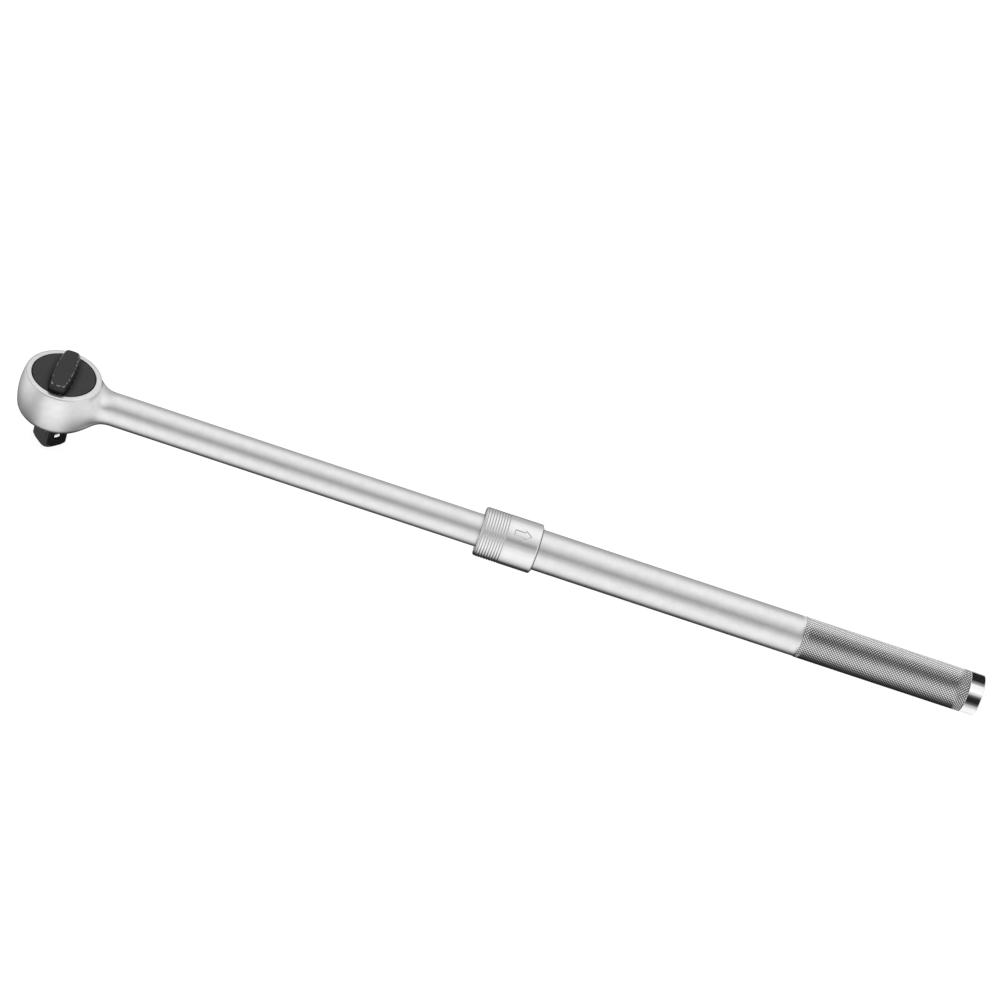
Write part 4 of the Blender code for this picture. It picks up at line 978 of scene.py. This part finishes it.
def end_cap():
    start = TUBE_END + GAP
    outline = [
        (0.0, PLUG_START),
        (PLUG_RADIUS, PLUG_START, PLUG_EDGE),
        (PLUG_RADIUS, start),
        (CAP_RADIUS, start, CAP_EDGE),
        (CAP_RADIUS, CAP_END - CAP_CHAMFER, CAP_CHAMFER_EASE),
        (CAP_RADIUS - CAP_CHAMFER, CAP_END, CAP_CHAMFER_EASE),
        (0.0, CAP_END),
    ]
    return turned("polished_end_cap", outline, 160, "X")


def detent_ball():
    centre = polar(DETENT_BALL_REACH, DETENT_ANGLE, DETENT_HEIGHT)
    return ball("polished_detent_ball", DETENT_BALL_RADIUS, centre, 64)


# Finishes

GRAIN_ROUGHNESS = 0.55


def node(tree, kind, inputs=None, **settings):
    """Add a shader node, linking or setting its inputs by name or number."""
    made = tree.nodes.new(kind)
    for key, value in settings.items():
        setattr(made, key, value)
    for key, value in (inputs or {}).items():
        if isinstance(value, bpy.types.NodeSocket):
            tree.links.new(value, made.inputs[key])
        else:
            made.inputs[key].default_value = value
    return made


def math_node(tree, operation, *values):
    return node(tree, "ShaderNodeMath", dict(enumerate(values)), operation=operation).outputs[0]


def remap(tree, value, low, high, new_low=0.0, new_high=1.0):
    """Carry a value from one range to another, kept inside it."""
    inputs = {"Value": value, 1: low, 2: high, 3: new_low, 4: new_high}
    return node(tree, "ShaderNodeMapRange", inputs).outputs[0]


def mixed(tree, share, first, second, blend="MIX"):
    """Mix two colours by a share."""
    inputs = {"Factor": share, 6: first, 7: second}
    return node(tree, "ShaderNodeMix", inputs, data_type="RGBA", blend_type=blend).outputs[2]


def grain(tree, size, detail=2.0, stretch=(1.0, 1.0, 1.0)):
    """Noise whose cells have a real size in metres, longer where it is stretched."""
    place_at = node(tree, "ShaderNodeTexCoord").outputs["Object"]
    scale = tuple(1.0 / (size * share) for share in stretch)
    scaled = node(tree, "ShaderNodeMapping", {"Vector": place_at, "Scale": scale}).outputs[0]
    inputs = {"Vector": scaled, "Scale": 1.0, "Detail": detail, "Roughness": GRAIN_ROUGHNESS}
    return node(tree, "ShaderNodeTexNoise", inputs).outputs[0]


def patches(tree, size, detail):
    """Grain spread over 0 to 1, for mixing two tones in soft patches."""
    return remap(tree, grain(tree, size, detail), 0.3, 0.7)


def mesh_share(tree, name):
    """A share kept on the mesh's points."""
    return node(tree, "ShaderNodeAttribute", attribute_name=name).outputs["Fac"]


def edge_share(tree, radius):
    """1 along rounded-over edges and 0 on flat stretches."""
    rounded = node(tree, "ShaderNodeBevel", {"Radius": radius}, samples=4).outputs[0]
    true = node(tree, "ShaderNodeNewGeometry").outputs["Normal"]
    ways = {0: rounded, 1: true}
    dot = node(tree, "ShaderNodeVectorMath", ways, operation="DOT_PRODUCT").outputs["Value"]
    return remap(tree, dot, 0.995, 0.85)


def surfaced(tree, shader, colour, roughness, heights):
    """Colour, roughness and a chain of height patterns, each with its depth in metres."""
    tree.links.new(colour, shader.inputs["Base Color"])
    tree.links.new(roughness, shader.inputs["Roughness"])
    normal = None
    for height, depth in heights:
        inputs = {"Height": height, "Strength": 1.0, "Distance": depth}
        if normal is not None:
            inputs["Normal"] = normal
        normal = node(tree, "ShaderNodeBump", inputs).outputs[0]
    tree.links.new(normal, shader.inputs["Normal"])


def grey(value, warmth=0.0):
    return (value * (1 + warmth), value, value * (1 - warmth), 1.0)


def blank_finish(name, **constants):
    """A material with its Principled shader and the constants set on it."""
    mat = bpy.data.materials.new(name)
    mat.use_nodes = True
    shader = mat.node_tree.nodes["Principled BSDF"]
    for key, value in constants.items():
        shader.inputs[key.replace("_", " ")].default_value = value
    return mat, mat.node_tree, shader


def worked_metal(
    name, tones, roughness, beads, lines=None, wear=0.0, warmth=0.0, engraved=False
):
    """Metal with mottled brightness and roughness, blasted grain, tool lines, worn edges and, for
    engraved pieces, painted shade down in the grooves and lines.
    """
    mat, tree, shader = blank_finish(name, Metallic=1.0)
    dark, light = tones
    smooth, rough = roughness
    colour = mixed(tree, patches(tree, 0.006, 3.0), grey(dark, warmth), grey(light, warmth))
    roughness = remap(tree, grain(tree, 0.022, 4.0), 0.3, 0.7, smooth, rough)
    heights = [(grain(tree, size), depth) for size, depth in beads]
    if lines:
        size, depth = lines
        heights.append((grain(tree, size, 2.0, (1.0, 60.0, 60.0)), depth))
    if wear > 0.0:
        edges = edge_share(tree, wear)
        colour = mixed(tree, edges, colour, grey(min(light + 0.12, 0.95), warmth))
        roughness = math_node(tree, "MULTIPLY_ADD", edges, -0.5 * smooth, roughness)
    if engraved:
        # Painted shade: darker down in the collar's grooves and the arrow's line, by their depth
        cut = remap(tree, mesh_share(tree, "cut_shade"), 0.2, 1.0)
        colour = mixed(tree, cut, colour, grey(0.44))
    surfaced(tree, shader, colour, roughness, heights)
    return mat


def knurl_chrome():
    """Polished chrome with painted shade, nearly black, down in the knurl's grooves, which are also
    duller.
    """
    mat, tree, shader = blank_finish("knurl_chrome", Metallic=1.0)
    relief = mesh_share(tree, "relief")
    mottle = patches(tree, 0.004, 3.0)
    low = mixed(tree, mottle, grey(0.05), grey(0.08))
    high = mixed(tree, mottle, grey(0.96), grey(1.0))
    # Painted shade: the colour drops to near black where the knurl's relief is low
    colour = mixed(tree, remap(tree, relief, 0.20, 0.42), low, high)
    roughness = remap(tree, relief, 0.0, 0.8, 0.26, 0.12)
    surfaced(tree, shader, colour, roughness, [(grain(tree, 0.0001), 1.5e-6)])
    return mat


def dark_finish(name, tones, roughness, beads, wear, worn, metallic=0.0):
    """Black surface with fine texture, lighter worn edges, on the lever also a painted highlight,
    and painted shade that dulls its shine near other surfaces.
    """
    mat, tree, shader = blank_finish(name, Metallic=metallic)
    dark, light = tones
    mottle = remap(tree, grain(tree, 0.0016, 4.0), 0.35, 0.65)
    # Lighter edges: worn paint, and on the lever's marked top edges also a painted highlight
    edges = math_node(tree, "MAXIMUM", edge_share(tree, wear), mesh_share(tree, "edge_wear_and_highlight"))
    chips = remap(tree, grain(tree, 0.0035, 3.0), 0.48, 0.62)
    colour = mixed(tree, mottle, grey(dark), grey(light))
    colour = mixed(tree, math_node(tree, "MULTIPLY", edges, chips), colour, grey(worn))
    roughness = remap(tree, grain(tree, 0.008, 3.0), 0.3, 0.7, *roughness)
    heights = [(grain(tree, size), depth) for size, depth in beads]
    surfaced(tree, shader, colour, roughness, heights)
    # Painted shade: the shine is turned down where other surfaces are near, so corners and joins
    # between parts go dark
    nearby = node(tree, "ShaderNodeAmbientOcclusion", {"Distance": 0.005}, samples=6)
    shine = remap(tree, nearby.outputs["AO"], 0.35, 1.0, 0.02, 0.5)
    tree.links.new(shine, shader.inputs["Specular IOR Level"])
    return mat


def finishes():
    """Every finish, by the record's slot or the piece it is for."""
    fine, ground = (0.00012, 1.5e-6), (0.0002, 1e-6)
    blasted = [(0.00025, 4e-6), (0.0001, 1.5e-6)]
    cast = [(0.0004, 8e-6), (0.00012, 2e-6)]
    rough_cast = [(0.0005, 1.6e-5), (0.00012, 2e-6)]
    return {
        "satin_chrome": worked_metal(
            "blasted_satin_chrome", (0.70, 0.76), (0.27, 0.34), blasted, wear=0.0005
        ),
        "turned_chrome": worked_metal(
            "turned_satin_chrome", (0.70, 0.76), (0.25, 0.31), [fine], (0.00015, 1.2e-6), 0.0004
        ),
        "collar_chrome": worked_metal(
            "ground_collar_chrome",
            (0.75, 0.79),
            (0.16, 0.20),
            [(0.00012, 8e-7)],
            (0.00012, 8e-7),
            0.0003,
            engraved=True,
        ),
        # Unplated machined steel for the head's bores, made far darker than bare steel as painted
        # shade in the recess
        "bore_steel_and_shade": worked_metal(
            "machined_bore_painted_shade", (0.10, 0.16), (0.25, 0.35), [(0.0002, 2e-6)], wear=0.0002
        ),
        "bright_chrome": worked_metal(
            "mirror_chrome", (0.86, 0.90), (0.035, 0.06), [(0.004, 4e-6)], (0.0002, 8e-8), 0.0003
        ),
        "knurl_chrome": knurl_chrome(),
        "black_oxide": dark_finish(
            "black_oxide_steel", (0.035, 0.05), (0.30, 0.42), [(0.0002, 2e-6)], 0.0004, 0.22, 0.8
        ),
        "black_dial": dark_finish(
            "black_satin_dial", (0.008, 0.013), (0.40, 0.50), cast, 0.0004, 0.12
        ),
        "lever_black": dark_finish(
            "black_satin_lever", (0.002, 0.005), (0.38, 0.46), rough_cast, 0.0007, 0.35
        ),
        "hardened_steel": worked_metal(
            "hardened_ground_steel", (0.48, 0.56), (0.22, 0.32), [ground], ground, 0.0003
        ),
        "spring_steel": worked_metal(
            "drawn_spring_steel", (0.36, 0.44), (0.28, 0.38), [(0.00015, 1.5e-6)], wear=0.0001
        ),
        "bronze": worked_metal(
            "sintered_bronze", (0.42, 0.50), (0.38, 0.5), [(0.0002, 4e-6)], wear=0.0003, warmth=0.38
        ),
        "black_rubber": dark_finish(
            "black_nitrile_rubber", (0.012, 0.02), (0.7, 0.85), [(0.0003, 8e-6)], 0.0003, 0.03
        ),
    }


# Putting the pieces in place


def place(obj, body, node_name, slot, *materials):
    """Finish a fine piece, ride it on its body and let it stand for its CAD node."""
    obj.data.materials.clear()
    for material in materials:
        obj.data.materials.append(material)
    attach(obj, body)
    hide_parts(node_name)


def painted(obj, chosen):
    """Give the second material to the faces whose centres are chosen."""
    for face in obj.data.polygons:
        face.material_index = int(chosen(face.center - Vector((0.0, 0.0, AXIS_HEIGHT))))


def in_bore(centre):
    """Whether a place is on the head's machined bores, below their mouths."""
    reach = DIAL_BORE_RADIUS if centre.z > CORE_BORE_FLOOR - GAP else RING_POCKET_RADIUS
    inside = centre.xy.length < reach + MOUTH_EDGE / 10
    return inside and HEAD_BOTTOM + MOUTH_EDGE < centre.z < HEAD_TOP - MOUTH_EDGE


def fine_pieces(made):
    satin, turned_satin = made["satin_chrome"], made["turned_chrome"]
    head = forged_head()
    place(head, "head", "head_and_shank", "satin_chrome", satin, made["bore_steel_and_shade"])
    # The bores below their mouths take the dark steel, which is bare metal and painted shade
    # together
    painted(head, in_bore)
    place(drive_core(), "drive", "drive_core", "black_oxide", made["black_oxide"])
    dial = direction_dial()
    place(dial, "dial", "direction_dial", "black_dial", made["black_dial"], made["lever_black"])
    painted(dial, lambda centre: centre.z > DIAL_TOP + LEVER_EDGE / 10)
    place(detent_ball(), "detent", "detent_ball", "bright_chrome", made["bright_chrome"])
    tube = grip_tube()
    place(tube, "grip", "grip_tube", "satin_chrome", turned_satin, made["knurl_chrome"])
    painted(tube, lambda centre: centre.x > KNURL_START and centre.yz.length > TUBE_RADIUS)
    place(lock_collar(), "collar", "lock_collar", "satin_chrome", made["collar_chrome"])
    place(end_cap(), "grip", "end_cap", "bright_chrome", made["bright_chrome"])


def finish_nodes(made):
    """Give the CAD nodes that stay the finish of their slot."""
    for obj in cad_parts.values():
        if obj.hide_render:
            continue
        for slot in obj.material_slots:
            key = slot.material.name.split(".")[0] if slot.material else ""
            slot.material = made.get(key, made["hardened_steel"])


# Studio

AIM = Vector((0.3371, 0.0, 0.0818))
CAMERA_AZIMUTH = math.radians(-4.08)
CAMERA_ELEVATION = math.radians(39.9)
CAMERA_ROLL = math.radians(20.96)
CAMERA_DISTANCE = 2.2108
CAMERA_LENS = 106.62


def camera():
    """Camera at the photograph's viewing angle."""
    data = bpy.data.cameras.new("camera")
    data.lens = CAMERA_LENS
    data.sensor_width = 36.0
    obj = bpy.data.objects.new("camera", data)
    bpy.context.scene.collection.objects.link(obj)
    flat = math.cos(CAMERA_ELEVATION)
    level = Vector((math.cos(CAMERA_AZIMUTH), math.sin(CAMERA_AZIMUTH), 0.0))
    back = Vector((level.y * flat, -level.x * flat, math.sin(CAMERA_ELEVATION)))
    upright = back.cross(level)
    right = level * math.cos(CAMERA_ROLL) + upright * math.sin(CAMERA_ROLL)
    up = back.cross(right)
    turn = Matrix((right, up, back)).transposed().to_4x4()
    obj.matrix_world = Matrix.Translation(AIM + back * CAMERA_DISTANCE) @ turn
    bpy.context.scene.camera = obj


def ramp(tree, value, low, high, stops):
    """Smooth ramp of grey levels over a value, by stops of (value, level)."""
    made = node(tree, "ShaderNodeValToRGB", {0: remap(tree, value, low, high)})
    band = made.color_ramp
    band.interpolation = "EASE"
    while len(band.elements) < len(stops):
        band.elements.new(0.5)
    for element, (place_at, level) in zip(band.elements, stops):
        element.position = (place_at - low) / (high - low)
        element.color = grey(level / BRIGHTEST)
    return made.outputs[0]


# Light round the handle: (degrees from straight up round to the camera's side, level)
ROUND_LIGHT = (
    (-180, 0.03), (-140, 0.05), (-116, 0.16), (-98, 0.46), (-70, 0.62), (-45, 1.02), (-25, 1.16),
    (-5, 1.13), (10, 0.98), (25, 0.76), (48, 0.38), (65, 0.68), (88, 1.08), (110, 1.20),
    (130, 1.15), (150, 0.90), (168, 0.42), (180, 0.03),
)
# Light from the handle's two ends: (height of the direction, level)
END_LIGHT = (
    (-1.0, 0.20), (-0.78, 0.33), (-0.72, 0.47), (-0.56, 0.85), (-0.40, 0.92), (0.3, 0.88),
    (1.0, 0.75),
)
END_SHARES = (0.30, 0.68)  # share of a direction along X where the ends' light takes over
# Light along the handle: (share of the direction that points along X, level)
ALONG_LIGHT = (
    (-1.0, 1.1), (-0.86, 1.0), (-0.76, 0.74), (-0.56, 0.74), (-0.35, 0.95), (0.0, 1.0),
    (0.5, 1.06), (1.0, 1.1),
)
BRIGHTEST = 1.4
BACKDROP_LEVEL = 0.98


def studio_light():
    """Soft light on both sides of the handle, with a gap between them on the camera's side."""
    world = bpy.data.worlds.new("studio")
    world.use_nodes = True
    bpy.context.scene.world = world
    tree = world.node_tree
    tree.nodes.clear()
    way = node(tree, "ShaderNodeTexCoord").outputs["Generated"]
    x, y, z = node(tree, "ShaderNodeSeparateXYZ", {0: way}).outputs[:3]
    turn = math_node(tree, "ARCTAN2", math_node(tree, "MULTIPLY", y, -1.0), z)
    stops = [(math.radians(angle), level) for angle, level in ROUND_LIGHT]
    around = ramp(tree, turn, -math.pi, math.pi, stops)
    ends = ramp(tree, z, -1.0, 1.0, END_LIGHT)
    over = remap(tree, math_node(tree, "ABSOLUTE", x), *END_SHARES)
    along = ramp(tree, x, -1.0, 1.0, ALONG_LIGHT)
    light = mixed(tree, 1.0, mixed(tree, over, around, ends), along, "MULTIPLY")
    bright = BRIGHTEST * BRIGHTEST
    seen = node(tree, "ShaderNodeLightPath").outputs["Is Camera Ray"]
    colour = mixed(tree, seen, light, grey(BACKDROP_LEVEL / bright))
    background = node(tree, "ShaderNodeBackground", {"Color": colour, "Strength": bright})
    output = node(tree, "ShaderNodeOutputWorld", {"Surface": background.outputs[0]})
    output.is_active_output = True


# Curved cards round the grip's end, which the knurl and the cap mirror
CARD_RADIUS = 0.025
CARDS_MEET = TUBE_END + 0.0005
CAP_CARD_SPAN = (CARDS_MEET, CAP_END + 0.020)
KNURL_CARD_SPAN = (KNURL_START + 0.0010, CARDS_MEET)
# Light on each card: (degrees from the top round to the camera's side, level)
CAP_CARD_LIGHT = (
    (-180, 0.90), (-112, 0.95), (-72, 0.90), (-47, 0.015), (-4, 0.015), (10, 0.34), (17, 1.02),
    (42, 1.15), (50, 0.75), (59, 0.13), (66, 0.02), (81, 0.02), (89, 0.11), (101, 0.62),
    (114, 1.02), (132, 1.08), (162, 0.90), (180, 0.90),
)
KNURL_CARD_LIGHT = (
    (-171, 0.01), (-125, 0.50), (-88, 1.35), (-52, 1.02), (-28, 1.12), (-16, 1.15), (-9, 1.05),
    (3, 0.90), (12, 0.42), (20, 0.12), (36, 0.12), (44, 0.32), (50, 0.40), (58, 0.62), (67, 0.92),
    (77, 1.12), (86, 0.98), (96, 0.64), (107, 0.31), (120, 0.10), (136, 0.03), (189, 0.01),
)
# Dark card on the floor that the drive square's right face mirrors: lowest and highest corner
DRIVE_CARD = ((0.005, -0.022), (0.034, 0.018))


def glowing_finish(name, tones, tone_size, glow, strength):
    """Matt finish that glows by a level."""
    mat, tree, shader = blank_finish(name, Roughness=0.9, Specular_IOR_Level=0.0)
    tone = patches(tree, *tone_size)
    for socket, (dark, light) in (("Base Color", tones), ("Emission Color", glow)):
        tree.links.new(mixed(tree, tone, grey(dark), grey(light)), shader.inputs[socket])
    if strength is None:
        tree.links.new(mesh_share(tree, "level"), shader.inputs["Emission Strength"])
    else:
        shader.inputs["Emission Strength"].default_value = strength
    return mat


def staged_card(obj, material):
    """A card that is seen in reflections only."""
    obj.data.materials.append(material)
    obj.visible_camera = False
    obj.visible_diffuse = False
    obj.visible_shadow = False


def eased_level(stops, angle):
    """Level at an angle, easing from each stop to the next."""
    for (low, first), (high, second) in zip(stops, stops[1:]):
        if angle <= high:
            share = (angle - low) / (high - low)
            return first + (second - first) * share * share * (3 - 2 * share)
    return stops[-1][1]


def curved_card(name, reach, stops):
    """Tube wall round the handle that glows by a level at each angle from the top."""
    bm = bmesh.new()
    levels = bm.verts.layers.float.new("level")
    low, high = stops[0][0], stops[-1][0]
    steps = 180
    angles = [low + (high - low) * step / steps for step in range(steps + 1)]
    turns = [math.radians(90.0 + angle) for angle in angles]
    near, far = [ring(bm, [around_shank(x, CARD_RADIUS, turn) for turn in turns]) for x in reach]
    for verts in (near, far):
        for vert, angle in zip(verts, angles):
            vert[levels] = eased_level(stops, angle)
    for step in range(steps):
        bm.faces.new((near[step], near[step + 1], far[step + 1], far[step]))
    return to_object(bm, name)


def flat_sheet(name, low, high, lift=0.0):
    """A level rectangle between two corners, over the plane of the drive's end face."""
    bm = bmesh.new()
    corners = ((low[0], low[1]), (high[0], low[1]), (high[0], high[1]), (low[0], high[1]))
    bm.faces.new(ring(bm, [(x, y, lift - AXIS_HEIGHT) for x, y in corners]))
    return to_object(bm, name)


def mirrored_cards():
    material = glowing_finish("graded_card", (0.004, 0.006), (0.01, 2.0), (0.98, 1.0), None)
    staged_card(curved_card("cap_card", CAP_CARD_SPAN, CAP_CARD_LIGHT), material)
    staged_card(curved_card("knurl_card", KNURL_CARD_SPAN, KNURL_CARD_LIGHT), material)
    staged_card(flat_sheet("drive_card", *DRIVE_CARD, lift=GAP / 3), material)


FLOOR_PLACE = (0.33, 0.0, -0.0004)
FLOOR_HALF = 4.0
FLOOR_LEVEL = 0.88


def floor():
    """Plain pale floor under the tool."""
    obj = flat_sheet("pale_floor", (-FLOOR_HALF, -FLOOR_HALF), (FLOOR_HALF, FLOOR_HALF))
    obj.location = FLOOR_PLACE
    finish = glowing_finish("pale_floor", (0.29, 0.31), (0.3, 3.0), (0.97, 0.99), FLOOR_LEVEL)
    obj.data.materials.append(finish)
    obj.visible_glossy = False


MADE = finishes()
fine_pieces(MADE)
finish_nodes(MADE)
camera()
studio_light()
mirrored_cards()
floor()
bpy.context.scene.view_settings.view_transform = "Standard"
